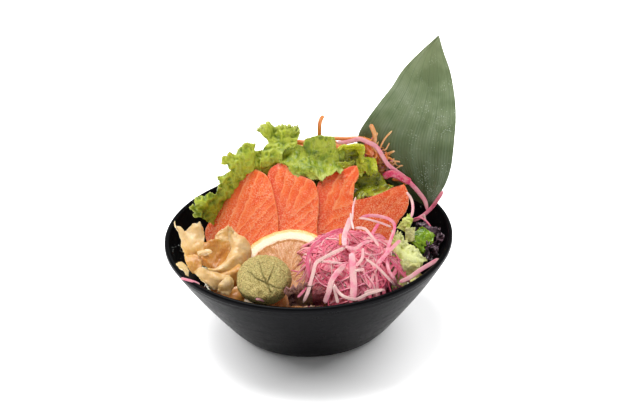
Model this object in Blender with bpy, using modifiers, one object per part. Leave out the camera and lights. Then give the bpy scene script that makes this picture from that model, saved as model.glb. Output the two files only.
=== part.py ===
"""A black bowl of salmon sashimi: four salmon slices over shredded vegetables, with lettuce, a bamboo leaf,
a lemon slice, wasabi, pickled ginger and a heap of pink radish shreds.

Units are metres and +Z is up. The origin is the centre of the bowl's flat underside, and -Y is the front.
Points written with at() are in millimetres.
"""

import math

import bmesh
import bpy
from mathutils import Matrix, Vector

MM = 0.001

# The bowl, turned about Z
RIM_RADIUS = 0.095
BOWL_HEIGHT = 0.065
BASE_RADIUS = 0.050
WALL = 0.003
FLOOR = 0.005
RIM_BAND = 0.003
BOWL_STEPS = 48
FLAT_RADIUS = 0.044
CORNER_WIDTH = 0.012

# The mound of shredded vegetables, and the salmon lying on its front slope
SLOPE = 0.9
CREST = 0.088
SIDE_FALL = 4.6
SALMON_THICKNESS = 0.006
SALMON_ROOM = 0.0095
BED_LEVEL = 0.038
BED_RADIUS = 0.0725
BED_SHOULDER = 0.048
RIDGE_Y = 0.017
BACK_FALL = 1.15
CARRIED_GAP = 0.0020
HEAP_LEAST = 0.003

# The lemon slice, leaning back on the salmon
LEMON_RADIUS = 0.0315
LEMON_THICKNESS = 0.004
LEMON_CENTRE = Vector((-0.0125, -0.045, 0.0605))
LEMON_LEAN = math.radians(31)
LEMON_TURN = math.radians(-13)

# The bamboo leaf stands in its own plane, from its stalk to its tip
LEAF_FOOT = Vector((0.0842, 0.0300, 0.0635))
LEAF_TIP = Vector((0.0915, 0.062, 0.1723))
LEAF_SIDE = Vector((0.9918, -0.1253, -0.0262))
LEAF_THICKNESS = 0.0008
LEAF_BOW = 0.004

WASABI_CENTRE = Vector((-0.028, -0.067, 0.0695))
WASABI_RADII = Vector((0.0175, 0.0165, 0.0148))


def at(x, y, z=0.0):
    return Vector((x, y, z)) * MM


def clamp(value, low=0.0, high=1.0):
    return max(low, min(high, value))


def smooth(value):
    value = clamp(value)
    return value * value * (3 - 2 * value)


def along(points, t):
    """A smooth curve through the points, at t from 0 to 1."""
    place = clamp(t) * (len(points) - 1)
    i = min(int(place), len(points) - 2)
    f = place - i
    before = points[max(i - 1, 0)]
    a, b = points[i], points[i + 1]
    after = points[min(i + 2, len(points) - 1)]
    turn = 2 * before - 5 * a + 4 * b - after + f * (3 * (a - b) + after - before)
    return a + 0.5 * f * (b - before + f * turn)


def bend(a, handle, b, t):
    return a * (1 - t) ** 2 + handle * 2 * t * (1 - t) + b * t * t


def patch(rows, u, v):
    """A smooth sheet over three rows of three points: u along a row, v from the first row to the last."""
    return bend(*(bend(*row, u) for row in rows), v)


# ---------------------------------------------------------------- scene, materials and mesh helpers


def clear_scene():
    for obj in list(bpy.data.objects):
        bpy.data.objects.remove(obj)


def new_collection(name):
    collection = bpy.data.collections.new(name)
    bpy.context.scene.collection.children.link(collection)
    return collection


def finish(name, colour, roughness):
    material = bpy.data.materials.new(name)
    material.use_nodes = True
    shader = material.node_tree.nodes["Principled BSDF"]
    shader.inputs["Base Color"].default_value = (*colour, 1.0)
    shader.inputs["Roughness"].default_value = roughness
    shader.inputs["Metallic"].default_value = 0.0
    return material


def add_object(name, data, material):
    obj = bpy.data.objects.new(name, data)
    obj.data.materials.append(material)
    PART.objects.link(obj)
    return obj


def mesh_from(name, build, material):
    """A new object whose mesh is what build() puts into an empty bmesh."""
    shape = bmesh.new()
    build(shape)
    mesh = bpy.data.meshes.new(name)
    shape.to_mesh(mesh)
    shape.free()
    return add_object(name, mesh, material)


def sheet(name, surface, columns, rows, thickness, material, offset=0.0):
    """An open grid over surface(u, v), given a thickness. Its normal is along du x dv."""

    def build(shape):
        grid = [
            [shape.verts.new(surface(c / columns, r / rows)) for c in range(columns + 1)]
            for r in range(rows + 1)
        ]
        for r in range(rows):
            for c in range(columns):
                shape.faces.new((grid[r][c], grid[r][c + 1], grid[r + 1][c + 1], grid[r + 1][c]))

    obj = mesh_from(name, build, material)
    solid = obj.modifiers.new("Thickness", "SOLIDIFY")
    solid.thickness = thickness
    solid.offset = offset
    return obj


def heap(name, centre, radii, top, under, spokes, rings, material, lobes=0.0):
    """A closed mound over an ellipse: top(x, y) above it and under(x, y) below it."""

    def build(shape):
        def ring(share, height):
            loop = []
            for k in range(spokes):
                angle = 2 * math.pi * k / spokes
                reach = share * (1 + lobes * math.sin(5 * angle + 1) * math.cos(2 * angle))
                x = centre[0] + radii[0] * reach * math.cos(angle)
                y = centre[1] + radii[1] * reach * math.sin(angle)
                loop.append(shape.verts.new((x, y, height(x, y))))
            return loop

        upper = [ring((i + 1) / rings, top) for i in range(rings)]
        lower = [ring((i + 1) / rings, under) for i in range(rings)]
        ends = [shape.verts.new((*centre, height(*centre))) for height in (top, under)]
        for loops, end, turned in ((upper, ends[0], False), (lower, ends[1], True)):
            for k in range(spokes):
                j = (k + 1) % spokes
                face = (end, loops[0][k], loops[0][j])
                shape.faces.new(face[::-1] if turned else face)
                for inner, outer in zip(loops, loops[1:]):
                    face = (inner[k], outer[k], outer[j], inner[j])
                    shape.faces.new(face[::-1] if turned else face)
        for k in range(spokes):
            j = (k + 1) % spokes
            shape.faces.new((upper[-1][k], lower[-1][k], lower[-1][j], upper[-1][j]))

    return mesh_from(name, build, material)


def strand(name, points, radius, material, steps):
    """A round shred along a smooth curve through the points."""
    curve = bpy.data.curves.new(name, "CURVE")
    curve.dimensions = "3D"
    curve.bevel_depth = radius
    curve.bevel_resolution = 1
    curve.use_fill_caps = True
    spline = curve.splines.new("POLY")
    spline.points.add(steps)
    for i in range(steps + 1):
        spline.points[i].co = (*along(points, i / steps), 1.0)
    return add_object(name, curve, material)


# ---------------------------------------------------------------- the bowl

# (radius, height) points of the wall, which bends from the shoulder, past the belly, to the heel
SHOULDER = Vector((RIM_RADIUS - 0.0003, BOWL_HEIGHT - RIM_BAND))
BELLY = Vector((0.0818, 0.037))
HEEL = Vector((0.0585, 0.006))
TOE = Vector((0.054, 0.0))
INNER_SHOULDER = SHOULDER + Vector((-WALL, 0.001))
INNER_BELLY = BELLY + Vector((-WALL, 0.0))
INNER_HEEL = HEEL + Vector((-WALL, 0.003))
INNER_STEPS = 5
WALL_STEPS = 6
HALVINGS = 20
# The lip's points, from the corner where the rim's radius and height meet
LIP = (Vector((-0.0024, -0.0006)), Vector((-0.0012, 0.0)), Vector((-0.0002, -0.0008)))


def bowl_profile():
    """(radius, height) points from the inside's centre, over the rim and down to the base's centre."""
    rim = Vector((RIM_RADIUS, BOWL_HEIGHT))
    base = Vector((BASE_RADIUS, 0.0))
    floor = [Vector((0.0, FLOOR)), Vector((0.046, FLOOR)), Vector((0.0515, FLOOR + 0.0012))]
    inner = [inner_wall(i / INNER_STEPS) for i in range(INNER_STEPS + 1)]
    lip = [rim + step for step in LIP]
    outer = [bend(SHOULDER, BELLY, HEEL, i / WALL_STEPS) for i in range(WALL_STEPS + 1)]
    return floor + inner + lip + outer + [bend(HEEL, TOE, base, 0.5), base, Vector((0.0, 0.0))]


def inner_wall(t):
    return bend(INNER_HEEL, INNER_BELLY, INNER_SHOULDER, t)


def inside_height(x, y):
    """How high the bowl's inner surface is above this place."""
    reach = math.hypot(x, y)
    if reach < INNER_HEEL.x:
        return FLOOR + (INNER_HEEL.y - FLOOR) * smooth((reach - FLAT_RADIUS) / CORNER_WIDTH)
    low, high = 0.0, 1.0
    for _ in range(HALVINGS):
        middle = (low + high) / 2
        if inner_wall(middle).x < reach:
            low = middle
        else:
            high = middle
    return inner_wall(low).y


def make_bowl():
    def build(shape):
        points = [shape.verts.new((r, 0.0, z)) for r, z in bowl_profile()]
        for a, b in zip(points, points[1:]):
            shape.edges.new((a, b))

    obj = mesh_from("bowl", build, finish("black_melamine", (0.018, 0.018, 0.020), 0.32))
    turn = obj.modifiers.new("Turn", "SCREW")
    turn.axis = "Z"
    turn.steps = BOWL_STEPS
    turn.render_steps = BOWL_STEPS
    turn.use_merge_vertices = True
    turn.merge_threshold = 0.00001
    return obj


# ---------------------------------------------------------------- the heaps that carry the rest


def salmon_top(x, y):
    """The rounded slope that the salmon's upper faces follow."""
    return CREST + SLOPE * y - SIDE_FALL * x * x


def lemon_plane(x, y):
    """The height of the lemon slice's middle plane."""
    normal = lemon_frame() @ Vector((0, 0, 1))
    across = normal.x * (x - LEMON_CENTRE.x) + normal.y * (y - LEMON_CENTRE.y)
    return LEMON_CENTRE.z - across / normal.z


def lemon_frame():
    return (Matrix.Rotation(LEMON_TURN, 4, "Z") @ Matrix.Rotation(LEMON_LEAN, 4, "X")).to_3x3()


def bed_top(x, y):
    """The shreds under the salmon: a level rim, a slope up to a ridge, and a fall behind it."""
    slope = salmon_top(x, min(y, RIDGE_Y)) - SALMON_ROOM - BACK_FALL * max(0.0, y - RIDGE_Y)
    inward = 1 - smooth((math.hypot(x, y) - BED_SHOULDER) / (BED_RADIUS - BED_SHOULDER))
    return BED_LEVEL + max(0.0, slope - BED_LEVEL) * inward


def on_the_bowl(x, y):
    return inside_height(x, y) + CARRIED_GAP


def make_bed():
    return heap(
        "vegetable_bed", (0.0, 0.0), (BED_RADIUS, BED_RADIUS), bed_top, on_the_bowl, 32, 7,
        finish("shredded_vegetables", (0.62, 0.60, 0.42), 0.55),
    )


def reach_from(centre, radii, x, y):
    """0 over the middle of a heap and 1 at its edge."""
    return math.hypot((x - centre[0]) / radii[0], (y - centre[1]) / radii[1])


CARROT_CENTRE = (0.005, 0.048)
CARROT_RADII = (0.050, 0.026)
CARROT_FOOT = 0.045
CARROT_EDGE = 0.060
CARROT_RISE = 0.044
CARROT_ROUNDNESS = 2.4
CARROT_LUMPS = 0.0015


def carrot_top(x, y):
    crown = math.sqrt(max(0.0, 1 - reach_from(CARROT_CENTRE, CARROT_RADII, x, y) ** CARROT_ROUNDNESS))
    return CARROT_EDGE + CARROT_RISE * crown + CARROT_LUMPS * math.sin(420 * x) * math.cos(380 * y)


def make_carrot_heap():
    def under(x, y):
        return max(CARROT_FOOT, bed_top(x, y) + CARRIED_GAP, on_the_bowl(x, y))

    def top(x, y):
        return max(carrot_top(x, y), under(x, y) + HEAP_LEAST)

    return heap(
        "carrot_shreds", CARROT_CENTRE, CARROT_RADII, top, under, 24, 6,
        finish("carrot", (0.85, 0.33, 0.06), 0.45), lobes=0.05,
    )


# The radish heap lies on the lemon and the salmon, and falls past the edges of both to the bed.
RADISH_CENTRE = (0.0245, -0.053)
RADISH_RADII = (0.031, 0.0295)
LEMON_ROOM = 0.0005
LEMON_RIGHT, PAST_LEMON_FALL = 0.022, 0.9
SALMON_CLEAR = 0.0045
SALMON_FRONT, PAST_SALMON_FALL = -0.0235, 1.2
RADISH_FRONT, RADISH_EDGE = -0.080, 0.059
RADISH_SLOPE, RADISH_ROUNDING = 0.60, 0.25
RADISH_RISE = 0.008
RADISH_LUMPS = 0.001


def make_radish_heap():
    def under(x, y):
        above_lemon = lemon_plane(x, y) + LEMON_THICKNESS + LEMON_ROOM
        above_lemon -= PAST_LEMON_FALL * max(0.0, x - LEMON_RIGHT)
        above_salmon = salmon_top(x, y) + SALMON_CLEAR - PAST_SALMON_FALL * max(0.0, SALMON_FRONT - y)
        return max(BED_LEVEL + CARRIED_GAP, above_lemon, above_salmon, on_the_bowl(x, y))

    def top(x, y):
        reach = reach_from(RADISH_CENTRE, RADISH_RADII, x, y)
        slope = RADISH_SLOPE * (y - RADISH_FRONT) * (1 - RADISH_ROUNDING * reach**2)
        crown = RADISH_EDGE + slope + RADISH_RISE * math.sqrt(max(0.0, 1 - reach * reach))
        return max(crown + RADISH_LUMPS * math.sin(500 * x) * math.sin(430 * y), under(x, y) + HEAP_LEAST)

    return heap(
        "radish_shreds", RADISH_CENTRE, RADISH_RADII, top, under, 28, 6,
        finish("pink_radish", (0.80, 0.25, 0.42), 0.4), lobes=0.06,
    )


# ---------------------------------------------------------------- salmon, lemon and wasabi

# Each slice: its left edge, its right edge, both from the front to the back, and how far the two stand
# above the slope, as the slices overlap like tiles.
SALMON = (
    ([at(-58, -16), at(-67, -4), at(-62, 7), at(-50, 14.5), at(-38, 19.5)],
     [at(-37, -20), at(-21, -14), at(-21.4, -2), at(-26.6, 9), at(-34, 19.5)], (0.0, 2.6)),
    ([at(-18.5, -21), at(-18.9, -12), at(-19.2, -2), at(-24, 9), at(-20, 19)],
     [at(6.5, -21), at(7, -11), at(8, 0), at(3, 10), at(-14, 19)], (-0.4, 2.6)),
    ([at(8, -21), at(8.5, -11), at(9.5, 0), at(14, 11), at(30, 19.5)],
     [at(29, -20), at(30, -8), at(32, 5), at(35.5, 13), at(34.5, 19)], (-0.4, 0.0)),
    ([at(34, -25), at(32, -16), at(32.5, -6), at(41, 7), at(60, 19)],
     [at(48, -28), at(58, -10), at(64.5, 3), at(67, 13), at(65, 19)], (3.0, 0.5)),
)


def make_salmon():
    material = finish("salmon", (0.90, 0.26, 0.09), 0.35)
    for number, (left, right, lift) in enumerate(SALMON, 1):

        def surface(u, v):
            place = along(left, v).lerp(along(right, v), u)
            place.z = salmon_top(place.x, place.y) + (lift[0] + (lift[1] - lift[0]) * u) * MM
            return place

        slab = sheet(f"salmon_slice_{number}", surface, 6, 9, SALMON_THICKNESS, material, offset=-1.0)
        edge = slab.modifiers.new("Edge", "BEVEL")
        edge.width = 0.0011
        edge.segments = 1
        edge.limit_method = "ANGLE"
        edge.angle_limit = math.radians(50)


def make_lemon():
    def build(shape):
        bmesh.ops.create_cone(
            shape, cap_ends=True, segments=48, radius1=LEMON_RADIUS, radius2=LEMON_RADIUS,
            depth=LEMON_THICKNESS,
        )

    obj = mesh_from("lemon_slice", build, finish("lemon", (0.95, 0.62, 0.20), 0.35))
    obj.matrix_world = Matrix.Translation(LEMON_CENTRE) @ lemon_frame().to_4x4()
    edge = obj.modifiers.new("Rind", "BEVEL")
    edge.width = 0.0007
    edge.segments = 1
    edge.limit_method = "ANGLE"
    return obj


def make_wasabi():
    def build(shape):
        bmesh.ops.create_uvsphere(shape, u_segments=18, v_segments=11, radius=1.0)
        for vertex in shape.verts:
            p = vertex.co
            lump = 1 + 0.03 * math.sin(3.1 * p.x + 1.3) * math.cos(2.7 * p.y) + 0.02 * math.sin(5 * p.z)
            vertex.co = Vector((p.x * WASABI_RADII.x, p.y * WASABI_RADII.y, p.z * WASABI_RADII.z)) * lump

    obj = mesh_from("wasabi", build, finish("wasabi", (0.55, 0.56, 0.25), 0.6))
    obj.location = WASABI_CENTRE
    return obj


# ---------------------------------------------------------------- leaves

# The bamboo leaf's edges in its plane: across from the line of stalk and tip, and up from the stalk.
LEAF_LEFT = [at(-1, -2), at(-12, 9.5), at(-24, 21.5), at(-37, 32), at(-46, 42), at(-49, 51), at(-45, 59.5),
             at(-37.5, 69), at(-30, 79), at(-23, 91), at(-13.5, 102), at(-0.5, 114.6)]
LEAF_RIGHT = [at(0.5, -2), at(4, 4.5), at(9.5, 15), at(12.5, 26), at(13.5, 37), at(14, 48), at(14.2, 60),
              at(12.8, 74), at(9, 91), at(3.6, 105), at(0.3, 115)]


def make_bamboo_leaf():
    rise = (LEAF_TIP - LEAF_FOOT).normalized()
    across = LEAF_SIDE.normalized()
    facing = across.cross(rise)

    def surface(u, v):
        flat = along(LEAF_LEFT, v).lerp(along(LEAF_RIGHT, v), u)
        bow = LEAF_BOW * math.sin(math.pi * v) * (4 * u * (1 - u))
        return LEAF_FOOT + across * flat.x + rise * flat.y + facing * bow

    green = finish("bamboo_leaf", (0.10, 0.16, 0.06), 0.45)
    return sheet("bamboo_leaf", surface, 5, 18, LEAF_THICKNESS, green)


# Each lettuce leaf: its foot and its frilled edge, both from left to right, and how many frills it has.
LETTUCE = {
    "lettuce_left": (
        [at(-71, 4, 60), at(-61, 14, 69), at(-52, 20, 78), at(-42, 23, 87), at(-33, 23, 92)],
        [at(-73, 0, 73), at(-80, 10, 80), at(-75, 21, 82), at(-62, 28, 94), at(-55, 33, 106),
         at(-44, 35, 114), at(-33.5, 33, 109)], 7),
    "lettuce_middle": (
        [at(-30, 22, 92), at(-22, 22, 93), at(-12, 23, 94), at(-3, 22, 93)],
        [at(-28, 33, 108), at(-34.5, 39, 119), at(-25, 40, 124), at(-13, 40, 125), at(-3, 40, 122),
         at(-2, 35, 113)], 6),
    "lettuce_right": (
        [at(0, 21, 96), at(7, 15, 95), at(16, 18, 95), at(25, 24, 94), at(32, 25, 92)],
        [at(1, 34, 112), at(7, 36, 116), at(14, 36, 115), at(22, 35, 116), at(28, 32, 110),
         at(32, 29, 101)], 6),
    "lettuce_curl": (
        [at(36, 24, 84), at(44, 24, 83), at(52, 25, 81), at(62, 26, 79)],
        [at(34, 30, 104), at(40, 31, 112), at(47, 31, 107), at(54, 30, 97), at(63, 29, 89)], 5),
}
FRILL = 0.0016
LETTUCE_THICKNESS = 0.0012


def make_lettuce():
    material = finish("lettuce", (0.42, 0.56, 0.12), 0.45)
    for name, (foot, edge, frills) in LETTUCE.items():

        def surface(u, v):
            place = along(foot, u).lerp(along(edge, u), v)
            place.y += FRILL * v * math.sin(2 * math.pi * frills * u)
            return place

        sheet(name, surface, 4 * frills, 3, LETTUCE_THICKNESS, material)


# Small leaves, each a sheet over three rows of three points.
SMALL_LEAVES = {
    "pale_lettuce": ([[at(59, -55, 66), at(64, -50, 62), at(70, -42, 57)],
                      [at(58, -34, 68), at(67, -32, 64), at(75, -27, 58)],
                      [at(55, -17, 70), at(64, -11, 74), at(72, -17, 62)]], (0.60, 0.70, 0.25)),
    "green_garnish": ([[at(67, -11, 61), at(72, -18, 58), at(77, -11, 58)],
                       [at(70, -6, 66), at(75, -10, 67), at(81, -6, 64)],
                       [at(71, 1, 65), at(76, -1, 67), at(80, 0, 65)]], (0.16, 0.26, 0.01)),
    "purple_lettuce": ([[at(76, -20, 53), at(79, -24, 52), at(82, -20, 55)],
                        [at(83, -10, 58), at(85, -12, 61), at(87, -9, 60)],
                        [at(81, 8, 60), at(84, 8, 64), at(87, 4, 65)]], (0.05, 0.03, 0.05)),
    "purple_frill": ([[at(-12, -82, 55), at(-8, -83, 60), at(-3, -82, 55)],
                      [at(-10, -77, 56), at(-6, -77, 61), at(-2, -77, 57)],
                      [at(-7, -72, 56), at(-5, -72, 59), at(-2, -72, 57)]], (0.25, 0.10, 0.13)),
}


def make_small_leaves():
    for name, (rows, colour) in SMALL_LEAVES.items():
        sheet(name, lambda u, v: patch(rows, u, v), 6, 6, LETTUCE_THICKNESS, finish(name, colour, 0.45))


# ---------------------------------------------------------------- pickled ginger

GINGER = {
    "ginger_upright": [[at(-79, -43, 66), at(-75, -40, 65), at(-71, -38, 68)],
                       [at(-83, -33, 79), at(-76, -28, 75), at(-70, -26, 77)],
                       [at(-84, -17, 82), at(-77, -16, 84), at(-70, -16, 82)]],
    "ginger_cup": [[at(-71, -53, 70), at(-58, -64, 69), at(-42, -52, 69)],
                   [at(-66, -46, 63), at(-56, -42, 55), at(-43, -40, 64)],
                   [at(-65, -26, 72), at(-52, -17, 86), at(-40, -32, 79)]],
    "ginger_small": [[at(-55, -70, 63), at(-51, -72, 63), at(-47, -70, 63)],
                     [at(-56, -68, 67), at(-51, -70, 68), at(-47, -68, 67)],
                     [at(-55, -65, 69), at(-50, -66, 71), at(-47, -66, 71)]],
}


GINGER_THICKNESS = 0.0014


def make_ginger():
    material = finish("pickled_ginger", (0.82, 0.58, 0.30), 0.35)
    for name, rows in GINGER.items():
        sheet(name, lambda u, v: patch(rows, u, v), 6, 6, GINGER_THICKNESS, material)


# ---------------------------------------------------------------- long loose shreds


RADISH_STRAND = 0.0012
CARROT_STRAND = 0.0010


def make_strands():
    radish = finish("radish_strand", (0.82, 0.38, 0.52), 0.4)
    carrot = finish("carrot_strand", (0.85, 0.33, 0.06), 0.45)
    strand(
        "radish_strand_long",
        [at(27, 37, 109), at(37, 38, 113), at(44, 38, 109), at(51, 37, 101), at(57, 36, 92), at(64, 34, 85),
         at(73, 31, 78), at(80, 26, 72), at(81, 22, 67)], RADISH_STRAND, radish, 16,
    )
    strand(
        "radish_strand_rim",
        [at(91, 17, 81), at(87, 17, 74), at(83, 17, 68), at(77, 15, 63.5), at(71, 12, 61.5)],
        RADISH_STRAND, radish, 8,
    )
    strand(
        "carrot_strand_upright",
        [at(10, 41, 108), at(10.5, 42, 118), at(11, 42.5, 124), at(13, 43, 128)], CARROT_STRAND, carrot, 8,
    )


clear_scene()
PART = new_collection("sashimi_bowl")
make_bowl()
make_bed()
make_carrot_heap()
make_radish_heap()
make_salmon()
make_lemon()
make_wasabi()
make_bamboo_leaf()
make_lettuce()
make_small_leaves()
make_ginger()
make_strands()
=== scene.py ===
"""Shows a black bowl of salmon sashimi and its garnishes, in the frame of their CAD model.

Control points are millimetres from the low corner of a CAD node's box. Other lengths are metres, and mm()
turns millimetres into them.
"""

import math

import bmesh
import bpy
import numpy as np
from mathutils import Matrix, Vector, noise
from mathutils.bvhtree import BVHTree


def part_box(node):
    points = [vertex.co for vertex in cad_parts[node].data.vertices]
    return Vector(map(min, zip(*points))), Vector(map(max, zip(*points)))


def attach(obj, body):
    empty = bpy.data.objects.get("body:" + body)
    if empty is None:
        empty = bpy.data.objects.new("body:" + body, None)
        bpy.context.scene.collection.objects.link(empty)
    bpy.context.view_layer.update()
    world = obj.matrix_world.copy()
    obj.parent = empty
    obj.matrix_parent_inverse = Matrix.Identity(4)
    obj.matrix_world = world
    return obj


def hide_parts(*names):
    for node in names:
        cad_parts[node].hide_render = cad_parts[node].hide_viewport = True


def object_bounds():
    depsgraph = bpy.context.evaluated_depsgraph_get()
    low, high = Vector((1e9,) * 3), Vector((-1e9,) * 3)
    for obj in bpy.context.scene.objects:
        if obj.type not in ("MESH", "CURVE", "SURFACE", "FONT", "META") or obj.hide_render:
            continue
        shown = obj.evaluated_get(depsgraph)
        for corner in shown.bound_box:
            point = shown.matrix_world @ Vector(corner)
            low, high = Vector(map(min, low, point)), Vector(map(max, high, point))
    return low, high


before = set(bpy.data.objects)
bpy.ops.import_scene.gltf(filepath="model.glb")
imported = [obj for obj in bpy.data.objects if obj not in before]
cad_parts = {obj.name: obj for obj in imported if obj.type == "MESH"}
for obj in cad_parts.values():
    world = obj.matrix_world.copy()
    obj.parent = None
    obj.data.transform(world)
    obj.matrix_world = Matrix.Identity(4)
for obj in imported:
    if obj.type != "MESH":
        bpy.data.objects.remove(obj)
cad_low, cad_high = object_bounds()

MM = 0.001
FULL_TURN = 2 * math.pi
MERGE, TINY = 0.00001, 1e-12
CORE_LUMP = 0.0030

# ------------------------------------------------------------------ curves, surfaces and noise


def mm(lengths):
    return np.asarray(lengths, float) * MM


def near(node, points):
    """Points given in millimetres from the low corner of the CAD node's box, taken to a whole millimetre."""
    return mm(np.asarray(points, float) + np.round(np.array(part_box(node)[0]) / MM))


def ease(x):
    x = np.clip(x, 0.0, 1.0)
    return x * x * (3 - 2 * x)


def mix(a, b, t):
    return a + (b - a) * t


def unit(vectors):
    return vectors / np.maximum(np.linalg.norm(vectors, axis=-1, keepdims=True), TINY)


def through(points, t):
    """The smooth curve through points (along their first axis), at each t from 0 to 1."""
    p = np.asarray(points, float)
    place = np.clip(np.asarray(t, float), 0, 1) * (len(p) - 1)
    i = np.minimum(place.astype(int), len(p) - 2)
    f = (place - i).reshape(-1, *[1] * (p.ndim - 1))
    a, b = p[i], p[i + 1]
    before, after = p[np.maximum(i - 1, 0)], p[np.minimum(i + 2, len(p) - 1)]
    bend = 2 * before - 5 * a + 4 * b - after
    return a + 0.5 * f * (b - before + f * (bend + f * (3 * (a - b) + after - before)))


def even_path(points, count):
    """count points evenly spaced along the smooth curve through the given ones."""
    fine = through(points, np.linspace(0, 1, 30 * len(points)))
    run = np.r_[0, np.cumsum(np.linalg.norm(np.diff(fine, axis=0), axis=1))]
    at = np.linspace(0, run[-1], count)
    return np.stack([np.interp(at, run, fine[:, k]) for k in range(3)], 1)


def quadratic(a, handle, b, count):
    """count points on the curve from a to b that leaves and arrives in the handle's direction."""
    t = np.linspace(0, 1, count)[:, None]
    return np.array(a) * (1 - t) ** 2 + np.array(handle) * 2 * t * (1 - t) + np.array(b) * t * t


def net(rows, columns, lines):
    """A grid of points on the smooth surface through rows of control points."""
    rows = np.stack([through(row, np.linspace(0, 1, 24)) for row in rows])
    across = through(rows.transpose(1, 0, 2), np.linspace(0, 1, columns)).transpose(1, 0, 2)
    return through(across, np.linspace(0, 1, lines))


def normals(grid):
    return unit(np.cross(np.gradient(grid, axis=1), np.gradient(grid, axis=0)))


def drift(seed, u, v, cells_u, cells_v):
    """Smooth noise from -1 to 1 with that many cells over u and v from 0 to 1."""
    values = np.random.default_rng(seed).uniform(-1, 1, (cells_v + 2, cells_u + 2))
    x, y = np.clip(u, 0, 1) * cells_u, np.clip(v, 0, 1) * cells_v
    i, j = x.astype(int), y.astype(int)
    fx, fy = ease(x - i), ease(y - j)
    low = mix(values[j, i], values[j, i + 1], fx)
    high = mix(values[j + 1, i], values[j + 1, i + 1], fx)
    return mix(low, high, fy)


def cloud(seed, points, size):
    """Smooth noise from -1 to 1 in space, its lumps about size metres across."""
    values = np.random.default_rng(seed).uniform(-1, 1, (32, 32, 32))
    low = np.floor(points / size).astype(int)
    f = ease(points / size - low)
    total = 0.0
    for corner in np.ndindex(2, 2, 2):
        share = np.prod(np.where(corner, f, 1 - f), axis=-1)
        x, y, z = np.moveaxis((low + corner) % 32, -1, 0)
        total = total + share * values[x, y, z]
    return total


def uv_grid(columns, lines):
    return np.meshgrid(np.linspace(0, 1, columns), np.linspace(0, 1, lines))


# ------------------------------------------------------------------ making pieces


def add_piece(name, vertices, faces, material, slot, replaces=(), values=None):
    mesh = bpy.data.meshes.new(name)
    mesh.from_pydata(np.asarray(vertices).tolist(), [], [list(f) for f in faces])
    mesh.polygons.foreach_set("use_smooth", [True] * len(mesh.polygons))
    for key, numbers in (values or {}).items():
        layer = mesh.attributes.new(key, "FLOAT", "POINT")
        layer.data.foreach_set("value", np.asarray(numbers, np.float32).ravel())
    mesh.materials.append(material)
    piece = bpy.data.objects.new(name, mesh)
    bpy.context.scene.collection.objects.link(piece)
    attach(piece, "root")
    if replaces:
        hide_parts(*replaces)
    return piece


def face_outwards(piece, merge=False):
    """Turns a closed piece's faces outwards, after its double points are merged where asked."""
    shape = bmesh.new()
    shape.from_mesh(piece.data)
    if merge:
        bmesh.ops.remove_doubles(shape, verts=shape.verts, dist=MERGE)
    bmesh.ops.recalc_face_normals(shape, faces=shape.faces)
    shape.to_mesh(piece.data)
    shape.free()


def vertices_and_faces(shape):
    """Takes a bmesh apart into what add_piece needs, and frees it."""
    shape.verts.index_update()
    lists = [v.co[:] for v in shape.verts], [[v.index for v in f.verts] for f in shape.faces]
    shape.free()
    return lists


def grid_faces(lines, columns, start=0, flip=False, wrap=False):
    r, c = np.meshgrid(np.arange(lines - 1), np.arange(columns if wrap else columns - 1), indexing="ij")
    d = (c + 1) % columns
    quad = np.stack([r * columns + c, r * columns + d, (r + 1) * columns + d, (r + 1) * columns + c], -1)
    quad = quad.reshape(-1, 4) + start
    return quad[:, ::-1] if flip else quad


def cap_faces(sides, start, flip=False):
    faces = np.array([[0, k, k + 1, k + 2] for k in range(1, sides - 2, 2)])
    return (faces[:, ::-1] if flip else faces) + start


def border(lines, columns):
    """The numbers of a grid's outer points, in order round it."""
    index = np.arange(lines * columns).reshape(lines, columns)
    return np.concatenate([index[0, :-1], index[:-1, -1], index[-1, :0:-1], index[:0:-1, 0]])


def two_skins(lines, columns, loops):
    """Faces for an upper grid and a lower one after it, joined by walls between loops of point numbers."""
    walls = [np.stack([p, q, np.roll(q, -1), np.roll(p, -1)], -1) for p, q in zip(loops, loops[1:])]
    lower = grid_faces(lines, columns, lines * columns, flip=True)
    return np.concatenate([grid_faces(lines, columns), lower, *walls])


def thick_sheet(name, grid, thickness, material, slot, replaces, values):
    """A closed thin sheet about a grid of points. thickness may vary over it."""
    lines, columns = grid.shape[:2]
    half = np.broadcast_to(np.asarray(thickness, float), (lines, columns))[..., None] / 2
    n = normals(grid)
    vertices = np.concatenate([(grid + n * half).reshape(-1, 3), (grid - n * half).reshape(-1, 3)])
    edge = border(lines, columns)
    faces = two_skins(lines, columns, [edge, edge + lines * columns])
    doubled = {k: np.concatenate([np.ravel(v), np.ravel(v)]) for k, v in values.items()}
    return add_piece(name, vertices, faces, material, slot, replaces, doubled)


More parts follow.
